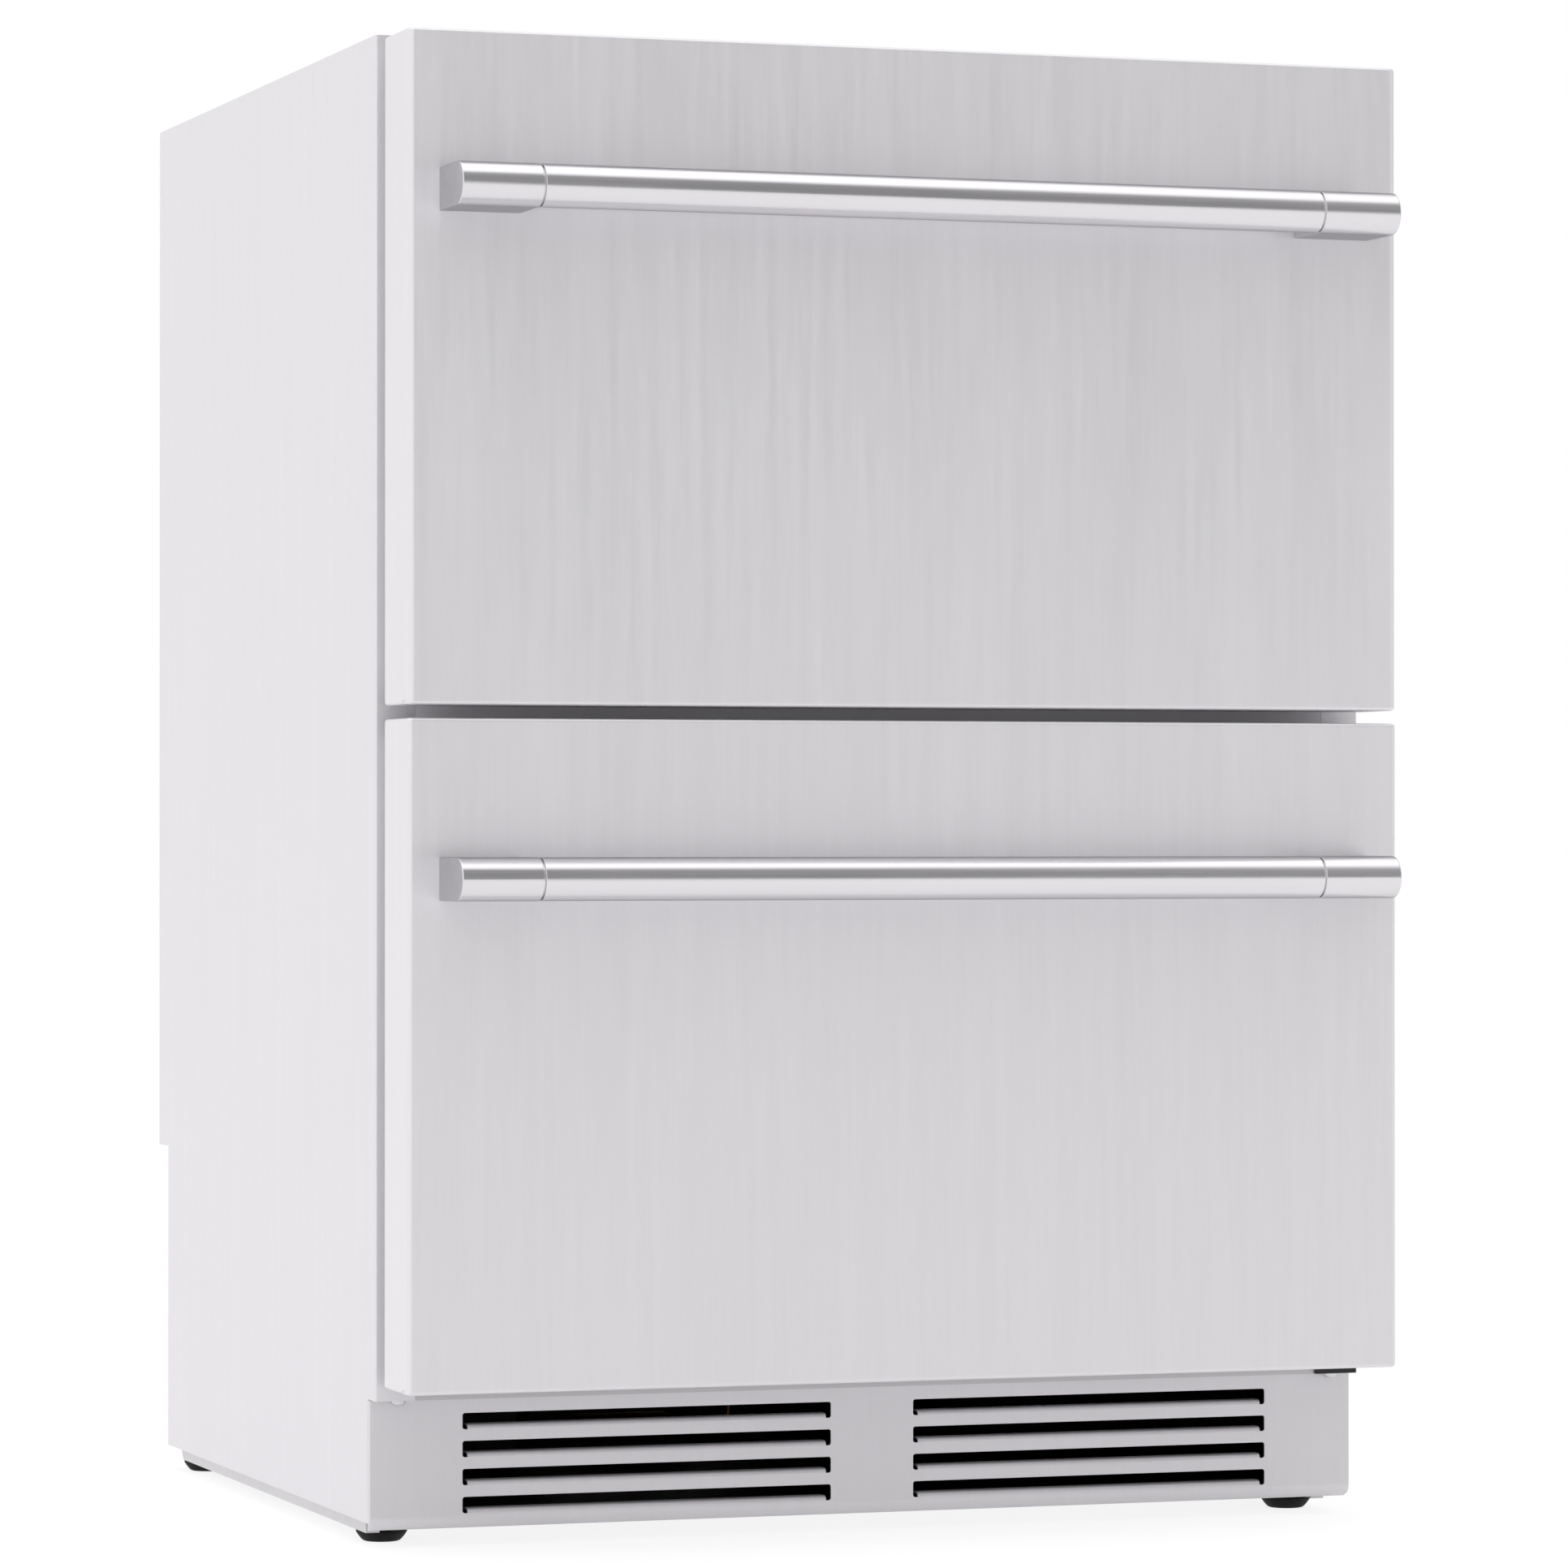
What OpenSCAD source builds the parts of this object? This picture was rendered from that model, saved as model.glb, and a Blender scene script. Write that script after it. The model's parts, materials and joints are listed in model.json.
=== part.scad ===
// Undercounter refrigerator with two full-extension drawers.
// Millimetres. The origin is on the floor, under the middle of the whole object.
// +X is the right side seen from the front, -Y is the front, +Z is up.

/* [Cabinet] */
// Width over the side panels
cabinet_w = 596; // [585:1:620]
// Height of the top above the floor, with the legs screwed in
cabinet_h = 846; // [830:1:880]
// Depth from the front frame to the rear panel
cabinet_d = 526; // [515:1:570]
// Thickness of the outer sheet
sheet_t = 1; // [0.8:0.1:1.3]
// Width of the front frame's stiles and rails
frame_w = 23; // [20:0.5:26]
// Height of the bar between the two drawers
mullion_h = 59; // [56:1:64]
// Depth of the bar between the two drawers
mullion_d = 33; // [25:1:40]
// Height of the front frame's bottom edge above the floor
toe_h = 84; // [80:1:88]

/* [Insulated walls, from outer to inner face] */
// Side walls
wall_t = 36; // [34:1:44]
// Ceiling
ceiling_t = 40; // [34:1:50]
// Floor
floor_t = 35; // [32:1:40]
// Back wall
back_t = 45; // [43:1:52]
// Walls round the machine compartment
step_t = 42; // [36:1:48]
// Thickness of the liner
liner_t = 2; // [1.5:0.1:2.5]
// Width of the liner's lip behind the front frame
lip_w = 10; // [6:1:14]

/* [Drawer fronts] */
// Distance of a front's side behind the cabinet's side
front_reveal = 2; // [0:0.5:6]
// Thickness of a front
front_t = 47.5; // [44:0.5:55]
// Thickness of a front's steel skin
skin_t = 0.8; // [0.6:0.1:1.2]
// Thickness of a front's inner panel
inner_panel_t = 3; // [2:0.5:4]
// Height of the lower front's bottom edge above the floor
fronts_bottom = 92; // [89:1:96]
// Gap between the two fronts
fronts_gap = 7.3; // [5:0.1:10]
// Reveal of the cabinet above the upper front
top_reveal = 2.7; // [1:0.1:6]

/* [Seals] */
// Gap between the fronts and the frame, which the seal fills
seal_space = 13; // [11:0.5:16]
// Distance of the seal from the front's edge
seal_inset = 8; // [6:0.5:9]
// Width of the seal
seal_w = 16; // [14:0.5:18]

/* [Handles] */
// Diameter of the bar
handle_d = 24; // [20:0.5:28]
// Length over both brackets
handle_l = 556; // [500:1:570]
// Length of a bracket
bracket_l = 47; // [36:1:60]
// Distance of the bar's front from the face
handle_out = 47.6; // [42:0.1:60]
// Distance of the bar's centre below the front's top edge
handle_drop = 88.5; // [60:0.5:120]
// Wall of the tube that makes the bar
bar_wall = 2; // [1.5:0.5:3]
// Seam between the bar and a bracket
seam = 0.4; // [0.2:0.1:0.8]
// Length of a bracket's spigot inside the bar
spigot_l = 18; // [10:1:30]
// Diameter of a handle screw
handle_screw_d = 5; // [4:0.5:6]

/* [Kick plate] */
// Setback behind the front frame
kick_setback = 12; // [12:1:26]
// Height of its bottom edge above the floor
kick_bottom = 10; // [8.5:0.5:14]
// Outer radius of the folds at its two sides
kick_fold = 3.5; // [2:0.5:5]
// Length of a louvre
louvre_l = 219; // [150:1:230]
// Open height of a louvre
louvre_h = 6.4; // [4.5:0.1:8]
// Distance from one louvre to the next
louvre_pitch = 15.7; // [15:0.1:16.5]
// Louvres in a group
louvre_rows = 4; // [2:1:4]
// Plain width between the two groups
louvre_middle = 50; // [20:1:90]
// Distance from the frame's bottom edge to the first louvre
louvre_drop = 8.9; // [6:0.1:12]
// Width of the cut at each end of a louvre's tab
louvre_cut = 3; // [1.5:0.1:4]
// Outer radius of the roll that turns a louvre's tab inwards
louvre_lip = 2.8; // [2:0.1:5]

/* [Drawer boxes] */
// Wall of a drawer box
box_t = 2.5; // [2:0.5:4]
// Distance of the upper box's rim below its seal's upper inner edge
upper_headroom = 59; // [44:1:110]
// Distance of the lower box's rim below its seal's upper inner edge
lower_headroom = 20; // [12:1:70]
// Running clearance below and behind a box
box_clear = 8; // [5:1:12]
// Width of the rim that stands out round a box
rim_w = 5; // [3:1:7]
// Thickness of the rim
rim_t = 3; // [2:0.5:5]

/* [Slides] */
// Distance of the slides' rear ends in front of the evaporator's cover
slide_end_gap = 31; // [21:1:70]
// Height of an outer member
slide_h = 45; // [40:1:50]
// Thickness of a slide, from the liner to the box
slide_w = 13.5; // [12.5:0.1:16]
// Thickness of a slide's steel
slide_t = 1.5; // [1.2:0.1:1.8]
// Running gap between slide members
slide_gap = 0.3; // [0.2:0.05:0.5]
// Height of the upper slides' centre above the upper box's floor
upper_slide_rise = 85; // [60:5:150]
// Height of the lower slides' centre above the lower box's rear floor
lower_slide_rise = 75; // [50:5:110]
// Distance of the slides behind the front frame
slide_setback = 8; // [5:1:15]

/* [Machine compartment] */
// Height of its roof above the floor, where the rear step is
machine_h = 203; // [202:1:215]
// Depth of the compartment
machine_d = 210; // [204:1:222]
// Inset of the rear cover from the rear panel
machine_inset = 25; // [20:1:32]
// Height of the base pan's underside above the floor
pan_z = 14.4; // [14:0.1:18]
// Thickness of the base pan
pan_t = 1.2; // [1:0.1:1.6]
// Width of a base rail
rail_w = 8; // [6:1:9]
// Height of a base rail
rail_h = 7.7; // [5:0.1:7.7]
// Distance of a base rail's front end behind the base pan's front edge
rail_setback = 23; // [5:1:40]
// Distance of a base rail's outer face from the cabinet's side
rail_inset = 5; // [3:0.5:6]

/* [Legs] */
// Diameter of a foot
foot_d = 29; // [24:1:32]
// Diameter of the foot's face on the floor
foot_face_d = 16; // [12:1:20]
// Height of a foot
foot_h = 6.4; // [5.5:0.1:6.4]
// Diameter of the threaded stud
stud_d = 10; // [8:1:12]
// Height of the stud's top above the floor
stud_top = 46; // [40:1:60]
// Distance of the legs from the cabinet's side
leg_inset = 20; // [19.5:0.5:26]
// Distance of the front legs behind the front frame
leg_front = 60; // [50:1:80]
// Distance of the rear legs in front of the rear cover
leg_rear = 23; // [18:1:30]

/* [Cooling] */
// Depth of the air duct behind the evaporator cover
duct_d = 42; // [40:1:50]
// Width of the evaporator between its end plates
evaporator_w = 380; // [300:10:400]
// Height of the evaporator
evaporator_h = 140; // [100:5:160]
// Depth of the evaporator
evaporator_t = 32; // [26:1:33]
// Distance of the evaporator's top below its cover's top
evaporator_drop = 140; // [135:5:160]
// Distance from one evaporator fin to the next
evaporator_pitch = 10; // [6:1:20]
// Radius of the evaporator fan's blades
fan_r = 48; // [36:1:52]
// Height of the compressor's can
compressor_h = 148; // [130:1:150]
// Radius of the compressor's can
compressor_r = 70; // [60:1:74]
// Distance of the compressor to the right of the middle
compressor_x = 120; // [110:1:130]
// Length of the condenser
condenser_l = 150; // [140:2:160]
// Height of the condenser's fins
condenser_h = 120; // [110:2:126]
// Depth of the condenser along the air's way
condenser_t = 50; // [40:2:60]
// Distance of the condenser's air outlet to the left of the middle
condenser_x = 145; // [140:1:150]
// Distance from one condenser fin to the next
condenser_pitch = 8; // [5:1:12]
// Radius of the condenser fan's blades
condenser_fan_r = 52; // [40:1:53]

/* [Fixings] */
// Diameter of a rear screw's shank
screw_d = 3.2; // [2.5:0.1:4]
// Diameter of a rear screw's head
screw_head_d = 7; // [6:0.5:9]
// Height of a screw's head
screw_head_h = 2.2; // [1.5:0.1:3]
// Diameter of the anti-tip holes in the top panel
anti_tip_d = 5; // [4:0.5:8]
// Distance between the anti-tip holes
anti_tip_spacing = 400; // [200:10:480]
// Distance of the anti-tip holes from the rear
anti_tip_inset = 40; // [30:1:60]

/* [Hidden] */
$fn = 48;
half_w = cabinet_w / 2;
depth = handle_out + front_t + seal_space + cabinet_d + screw_head_h;
face_y = -depth / 2 + handle_out;
panel_y = face_y + front_t;
frame_y = panel_y + seal_space;
back_y = frame_y + cabinet_d;
kick_y = frame_y + kick_setback;
cover_y = back_y - machine_inset;
machine_y = cover_y - machine_d;
inside_x = half_w - sheet_t;
cut = 0.5;
fit = 0.3;
running_fit = 0.05;

// The insulated space
cave_x = half_w - wall_t;
cave_floor = toe_h + floor_t;
cave_ceiling = cabinet_h - ceiling_t;
cave_back = back_y - back_t;
riser_y = machine_y - step_t;
step_z = machine_h + step_t;
lip_y = frame_y + sheet_t;
foam_y = lip_y + liner_t;
duct_y = cave_back - duct_d;

// The drawer fronts
front_w = cabinet_w - 2 * front_reveal;
front_h = (cabinet_h - top_reveal - fronts_gap - fronts_bottom) / 2;
lower_z = fronts_bottom;
upper_z = lower_z + front_h + fronts_gap;
mullion_z = upper_z - fronts_gap / 2;
mullion_top = mullion_z + mullion_h / 2;
mullion_bottom = mullion_z - mullion_h / 2;
bar_r = handle_d / 2;
bar_y = face_y - handle_out + bar_r;
bracket_x = handle_l / 2 - bracket_l;
handle_screw_x = handle_l / 2 - bracket_l / 2;
handle_screw_in = 16;
handle_screw_head_r = handle_screw_d * 0.9;
handle_screw_head_h = handle_screw_d * 0.6;

// The drawer boxes and their slides
box_x = cave_x - slide_w;
upper_floor = mullion_top + box_clear;
lower_floor = cave_floor + box_clear;
lower_rear_floor = step_z + box_clear;
upper_rim = upper_z + front_h - seal_inset - seal_w - upper_headroom;
lower_rim = lower_z + front_h - seal_inset - seal_w - lower_headroom;
box_back = duct_y - box_clear;
box_riser = riser_y - box_clear;
slide_y = frame_y + slide_setback;
slide_l = duct_y - slide_end_gap - slide_y;
upper_slide_z = upper_floor + upper_slide_rise;
lower_slide_z = lower_rear_floor + lower_slide_rise;
mid_h = slide_h - 2 * slide_t - 2 * slide_gap;
inner_h = mid_h - 2 * slide_t - 2 * slide_gap;
mid_s = slide_t + slide_gap;
inner_s = mid_s + slide_t + slide_gap;
slide_lip = slide_w - slide_t - slide_gap;

// The base and the legs
pan_top = pan_z + pan_t;
upstand_h = 15;
kick_top = toe_h - fit;
kick_return = 14;
rear_flange_w = 20;
leg_x = half_w - leg_inset;
leg_places = [
    [-leg_x, frame_y + leg_front],
    [leg_x, frame_y + leg_front],
    [-leg_x, cover_y - leg_rear],
    [leg_x, cover_y - leg_rear]
];
stud_r = stud_d / 2;
collar_r = 6.5;
foot_chamfer = 5;
nut_h = 8;
nut_r = stud_d * 0.98;

// The cooling system
duct_plate_t = 2.5;
duct_half_w = cave_x - 12;
duct_z0 = step_z + 10;
duct_z1 = cave_ceiling - 6;
evaporator_z = duct_z1 - evaporator_drop - evaporator_h;
fan_drop = 65;
fan_z = duct_z1 - fan_drop;
fan_depth = 20;
ring_gap = 3;
ring_t = 3;
hub_share = 0.36;
shaft_r = 2;
shaft_l = 9;
motor_gap = 1;
motor_r = 20;
motor_h = 15;
arm_w = 6;
arm_t = 3;
fin_t = 0.8;
end_plate_t = 1.5;
coil_r = 4;
evaporator_tube_y = cave_back - evaporator_t / 2;
evaporator_first_row = 0.14;
evaporator_row_step = 0.24;
stub_l = 12;
bend_r = 9;
compressor_y = machine_y + machine_d / 2;
mount_h = 12;
mount_r = 11;
base_plate_t = 3;
foot_x = 82;
foot_y = 55;
weld_stud_r = 3;
relay_half_d = 28;
relay_rise = 30;
relay_h = 58;
relay_out = 26;
can_z = pan_top + mount_h + base_plate_t;
can_top = can_z + compressor_h;
pipe_z = can_top + 2;
pipe_level = pipe_z + bend_r + 1;
condenser_y = machine_y + 40;
condenser_z = pan_top + 8;
condenser_top = condenser_z + condenser_h + 6;
condenser_back_x = -condenser_x - condenser_t;
condenser_rows = 5;
shroud_d = 26;
shroud_x = -condenser_x + shroud_d;
condenser_fan_y = condenser_y + condenser_l / 2;
condenser_fan_z = condenser_z + condenser_h / 2;
drain_x = -condenser_x - condenser_t * 0.3;
drain_y = cave_back - 20;
drain_r = 8;
drain_wall = 1.5;
drain_lip_r = 14;
tray_t = 1.5;
tray_h = 20;
riser_pipe_y = back_y - 36;
riser_pipe_x = evaporator_w / 2 + 26;
discharge_r = 3;
suction_r = 4;
capillary_r = 1.4;
liquid_r = 2.5;
drier_r = 9;
drier_l = 80;
drier_x = -condenser_x + 45;
drier_y = condenser_y - stub_l - bend_r - 4;
vent_l = 62;
vent_h = 5;
vent_step_x = 75;
vent_step_z = 12;
vent_margin = 82;
vent_drop = 108;
gland_x = inside_x - vent_margin;
gland_z = 52;
gland_r = 8.8;
cord_hole_r = 4;

// The control box, the control panel and the lights
box_gap = 15;
control_box_side = 8;
control_box_l = 125;
control_box_h = 90;
control_half_l = 85;
control_d = 42;
control_y = frame_y + mullion_d + 4;
light_half_l = 120;
light_d = 14;
light_h = 6;
light_setback = 9;

// ---- Shapes that repeat ----

// A box between two corners
module block(low, high) {
    translate(low) cube(high - low);
}

// A box centred on X
module centred_block(half, y0, y1, z0, z1) {
    block([-half, y0, z0], [half, y1, z1]);
}

// A YZ outline drawn out along X
module yz_slab(outline, x0, x1) {
    translate([x0, 0, 0]) rotate([90, 0, 90]) linear_extrude(x1 - x0) polygon(outline);
}

// A rod or hole along one axis, from a point
module rod_x(place, r, l) {
    translate(place) rotate([0, 90, 0]) cylinder(r = r, h = l);
}
module rod_y(place, r, l) {
    translate(place) rotate([-90, 0, 0]) cylinder(r = r, h = l);
}
module rod_z(place, r, l) {
    translate(place) cylinder(r = r, h = l);
}

// The children and their mirror image across the middle
module both_sides() {
    children();
    mirror([1, 0, 0]) children();
}

// A straight piece of tube between two points on a line along an axis
module straight(a, b, r) {
    run = b - a;
    u = run / norm(run);
    v = abs(u.z) > 0.5 ? [1, 0, 0] : [0, 0, 1];
    w = cross(u, v);
    multmatrix([[v.x, w.x, u.x, a.x], [v.y, w.y, u.y, a.y], [v.z, w.z, u.z, a.z], [0, 0, 0, 1]])
        cylinder(r = r, h = norm(run));
}

// A quarter bend at a square corner
module quarter_bend(before, corner, after, r, bend) {
    u = (corner - before) / norm(corner - before);
    t = (after - corner) / norm(after - corner);
    n = cross(u, t);
    c = corner - u * bend + t * bend;
    multmatrix([[-t.x, u.x, n.x, c.x], [-t.y, u.y, n.y, c.y], [-t.z, u.z, n.z, c.z], [0, 0, 0, 1]])
        rotate_extrude(angle = 90) translate([bend, 0]) circle(r = r);
}

// A tube along a route with square corners
module tube_run(route, r, bend) {
    last = len(route) - 1;
    for (i = [0 : last - 1]) {
        u = (route[i + 1] - route[i]) / norm(route[i + 1] - route[i]);
        straight(route[i] + (i == 0 ? 0 : bend) * u, route[i + 1] - (i == last - 1 ? 0 : bend) * u, r);
    }
    for (i = [1 : last - 1]) quarter_bend(route[i - 1], route[i], route[i + 1], r, bend);
}

// Fan rotor about +Z: hub, tilted blades and the shaft behind it
module fan_rotor(tip_r) {
    hub_r = tip_r * hub_share;
    chord = tip_r * 0.62;
    blade_t = 1.6;
    tilt = 28;
    cylinder(r = hub_r, h = fan_depth - 2);
    translate([0, 0, fan_depth - 2 - cut]) cylinder(r = shaft_r, h = shaft_l + cut);
    intersection() {
        cylinder(r = tip_r, h = fan_depth - 2);
        for (turn = [0 : 72 : 288])
            rotate([0, 0, turn]) translate([hub_r - 2, 0, fan_depth / 2 - 1]) rotate([tilt, 0, 0])
                translate([0, -chord / 2, -blade_t / 2]) cube([tip_r, chord, blade_t]);
    }
}

// Fan motor about +Z: can, shaft bore and the arms that reach the ring
module fan_motor(ring_r) {
    difference() {
        union() {
            cylinder(r = motor_r, h = motor_h);
            for (turn = [45, 135])
                rotate([0, 0, turn]) translate([-ring_r, -arm_w / 2, 0]) cube([2 * ring_r, arm_w, arm_t]);
        }
        translate([0, 0, -cut]) cylinder(r = shaft_r + running_fit, h = shaft_l + cut);
    }
}

// Ring round a fan, about +Z
module fan_ring(tip_r, l) {
    difference() {
        cylinder(r = tip_r + ring_gap + ring_t, h = l);
        translate([0, 0, -cut]) cylinder(r = tip_r + ring_gap, h = l + 2 * cut);
    }
}

// Outline of the insulated space, grown outwards by a distance
function cave_outline(front, grow) = [
    [front, cave_floor - grow],
    [riser_y + grow, cave_floor - grow],
    [riser_y + grow, step_z - grow],
    [cave_back + grow, step_z - grow],
    [cave_back + grow, cave_ceiling + grow],
    [front, cave_ceiling + grow]
];

// ---- Cabinet shell ----

rear_screw_places = [for (x = [-1, 1], z = [machine_h + 22, (machine_h + cabinet_h) / 2, cabinet_h - 26])
    [x * (half_w - 10), z]];
cover_screw_places = [for (x = [-1, 1], z = [pan_top + 20, machine_h - 18]) [x * (half_w - 10), z]];
screw_l = 8;

module rear_screw_holes(r) {
    for (p = rear_screw_places) rod_y([p.x, back_y - screw_l, p.y], r, screw_l + cut);
    for (p = cover_screw_places) rod_y([p.x, cover_y - screw_l, p.y], r, screw_l + cut);
}

module side_sheet() {
    outline = [
        [frame_y, toe_h],
        [kick_y + kick_fold, toe_h],
        [kick_y + kick_fold, pan_z],
        [cover_y, pan_z],
        [cover_y, machine_h],
        [back_y, machine_h],
        [back_y, cabinet_h],
        [frame_y, cabinet_h]
    ];
    difference() {
        union() {
            yz_slab(outline, inside_x, half_w);
            block([half_w - frame_w, frame_y, toe_h], [inside_x + cut, frame_y + sheet_t, cabinet_h]);
            block([half_w - rear_flange_w, back_y - 2 * sheet_t, machine_h + sheet_t],
                [inside_x + cut, back_y - sheet_t, cabinet_h - sheet_t]);
            block([half_w - rear_flange_w, cover_y - 2 * sheet_t, pan_top],
                [inside_x + cut, cover_y - sheet_t, machine_h]);
        }
        rear_screw_holes(screw_d / 2);
    }
}

module left_side_panel() {
    color("gainsboro") mirror([1, 0, 0]) side_sheet();
}

module right_side_panel() {
    color("gainsboro") side_sheet();
}

module anti_tip_holes(r, l) {
    for (x = [-1, 1])
        rod_z([x * anti_tip_spacing / 2, back_y - anti_tip_inset, cabinet_h - l], r, l + cut);
}

module top_panel() {
    color("gainsboro") difference() {
        union() {
            centred_block(inside_x, lip_y, back_y, cabinet_h - sheet_t, cabinet_h);
            centred_block(half_w - frame_w, frame_y, lip_y, cabinet_h - frame_w, cabinet_h);
        }
        anti_tip_holes(anti_tip_d / 2, sheet_t + cut);
    }
}

module rear_panel() {
    color("silver") difference() {
        centred_block(inside_x, back_y - sheet_t, back_y, machine_h, cabinet_h - sheet_t);
        rear_screw_holes(screw_d / 2);
    }
}

module underfloor_panel() {
    low = toe_h + sheet_t;
    outline = [
        [lip_y, low],
        [machine_y, low],
        [machine_y, machine_h],
        [back_y - sheet_t, machine_h],
        [back_y - sheet_t, machine_h + sheet_t],
        [machine_y - sheet_t, machine_h + sheet_t],
        [machine_y - sheet_t, low + sheet_t],
        [lip_y, low + sheet_t]
    ];
    color("silver") difference() {
        yz_slab(outline, -inside_x, inside_x);
        rod_z([drain_x, drain_y, machine_h - cut], drain_r + fit, sheet_t + 2 * cut);
        riser_holes();
        corner_screw_holes();
    }
}

module machine_cover() {
    color("silver") difference() {
        centred_block(inside_x, cover_y - sheet_t, cover_y, pan_z, machine_h);
        for (column = [0 : 4], row = [0 : 5])
            let (x = -inside_x + vent_margin + column * vent_step_x,
                z = machine_h - vent_drop + row * vent_step_z)
                block([x, cover_y - sheet_t - cut, z], [x + vent_l, cover_y + cut, z + vent_h]);
        rear_screw_holes(screw_d / 2);
        rod_y([gland_x, cover_y - sheet_t - cut, gland_z], gland_r, sheet_t + 2 * cut);
    }
}

module rear_screw(place) {
    rod_y([place.x, place.z - 6, place.y], screw_d / 2 - running_fit, 6 + cut);
    rod_y([place.x, place.z, place.y], screw_head_d / 2, screw_head_h);
}

module rear_screws() {
    color("dimgray") {
        for (p = rear_screw_places) rear_screw([p.x, p.y, back_y]);
        for (p = cover_screw_places) rear_screw([p.x, p.y, cover_y]);
    }
}

module mullion_bar() {
    color("gray") {
        centred_block(half_w - frame_w, frame_y, lip_y, mullion_bottom, mullion_top);
        difference() {
            centred_block(cave_x, lip_y - cut, frame_y + mullion_d, mullion_bottom, mullion_top);
            centred_block(cave_x + cut, lip_y, frame_y + mullion_d - sheet_t,
                mullion_bottom + sheet_t, mullion_top - sheet_t);
        }
    }
}

module bottom_rail() {
    color("darkgray") difference() {
        union() {
            centred_block(half_w - frame_w, frame_y, lip_y, toe_h, toe_h + frame_w);
            centred_block(inside_x, lip_y, kick_y + kick_return, toe_h, toe_h + sheet_t);
        }
        corner_screw_holes();
    }
}

// ---- Insulation and liner ----

module foam_insulation() {
    low = toe_h + 2 * sheet_t;
    back = back_y - 2 * sheet_t;
    outline = [
        [foam_y, low],
        [machine_y - sheet_t, low],
        [machine_y - sheet_t, machine_h + sheet_t],
        [back, machine_h + sheet_t],
        [back, cabinet_h - sheet_t],
        [foam_y, cabinet_h - sheet_t]
    ];
    color("khaki") difference() {
        yz_slab(outline, -inside_x, inside_x);
        yz_slab(cave_outline(foam_y - cut, liner_t), -cave_x - liner_t, cave_x + liner_t);
        rod_z([drain_x, drain_y, machine_h], drain_r + fit, step_t);
        rear_screw_holes(screw_d);
        corner_screw_holes();
        anti_tip_holes(anti_tip_d, 18);
        riser_holes();
    }
}

module liner() {
    lip_x = half_w - frame_w + lip_w;
    lip_low = toe_h + frame_w - lip_w;
    lip_high = cabinet_h - frame_w + lip_w;
    color("white") difference() {
        union() {
            yz_slab(cave_outline(lip_y, liner_t), -cave_x - liner_t, cave_x + liner_t);
            centred_block(lip_x, lip_y, foam_y, lip_low, lip_high);
        }
        yz_slab(cave_outline(lip_y - cut, 0), -cave_x, cave_x);
        rod_z([drain_x, drain_y, step_z - liner_t - cut], drain_r + fit, liner_t + 2 * cut);
        riser_holes();
    }
}

// ---- Evaporator and its duct ----

module evaporator_cover() {
    ring_z = [0, duct_y + duct_plate_t - cut, fan_z];
    slot_pitch = 10;
    slot_gap = 4;
    color("white") {
        difference() {
            centred_block(duct_half_w, duct_y, cave_back, duct_z0, duct_z1);
            centred_block(duct_half_w - duct_plate_t, duct_y + duct_plate_t, cave_back + cut,
                duct_z0 - cut, duct_z1 - duct_plate_t);
            for (row = [-4 : 4])
                let (reach = sqrt(pow(fan_r, 2) - pow(row * slot_pitch, 2)))
                    centred_block(reach, duct_y - cut, duct_y + duct_plate_t + cut,
                        fan_z + row * slot_pitch - slot_gap / 2, fan_z + row * slot_pitch + slot_gap / 2);
            for (row = [0 : 3])
                centred_block(duct_half_w * 0.8, duct_y - cut, duct_y + duct_plate_t + cut,
                    duct_z0 + 30 + row * slot_pitch, duct_z0 + 30 + row * slot_pitch + slot_gap);
        }
        translate(ring_z) rotate([-90, 0, 0]) fan_ring(fan_r, fan_depth + cut);
    }
}

module evaporator_fan_motor() {
    color("dimgray") translate([0, duct_y + duct_plate_t + fan_depth, fan_z]) rotate([-90, 0, 0])
        fan_motor(fan_r + ring_gap + ring_t);
}

module evaporator_fan() {
    color("white") translate([0, duct_y + duct_plate_t + 2 - motor_gap, fan_z]) rotate([-90, 0, 0])
        fan_rotor(fan_r);
}

function evaporator_row_z(row) =
    evaporator_z + evaporator_h * (evaporator_first_row + row * evaporator_row_step);

module evaporator() {
    half = evaporator_w / 2;
    fins = floor((evaporator_w - 2 * end_plate_t) / evaporator_pitch / 2);
    color("silver") {
        for (i = [-fins : fins])
            block([i * evaporator_pitch - fin_t / 2, cave_back - evaporator_t + 2, evaporator_z + 3],
                [i * evaporator_pitch + fin_t / 2, cave_back - 2, evaporator_z + evaporator_h - 3]);
        both_sides() block([half - end_plate_t, cave_back - evaporator_t, evaporator_z],
            [half, cave_back, evaporator_z + evaporator_h]);
        for (row = [0 : 3]) {
            left = row == 0 ? stub_l : 0;
            right = row == 3 ? stub_l : 0;
            rod_x([-half - left, evaporator_tube_y, evaporator_row_z(row)], coil_r,
                evaporator_w + left + right);
        }
    }
}

// ---- Machine compartment ----

module foot_grid() {
    for (x = [-foot_x, foot_x], y = [-foot_y, foot_y])
        translate([compressor_x + x, compressor_y + y, 0]) children();
}

stub_place = [compressor_x - compressor_r * 0.5, compressor_y - compressor_r * 0.35];
suction_place = [compressor_x + compressor_r * 0.5, compressor_y + compressor_r * 0.35];

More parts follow.
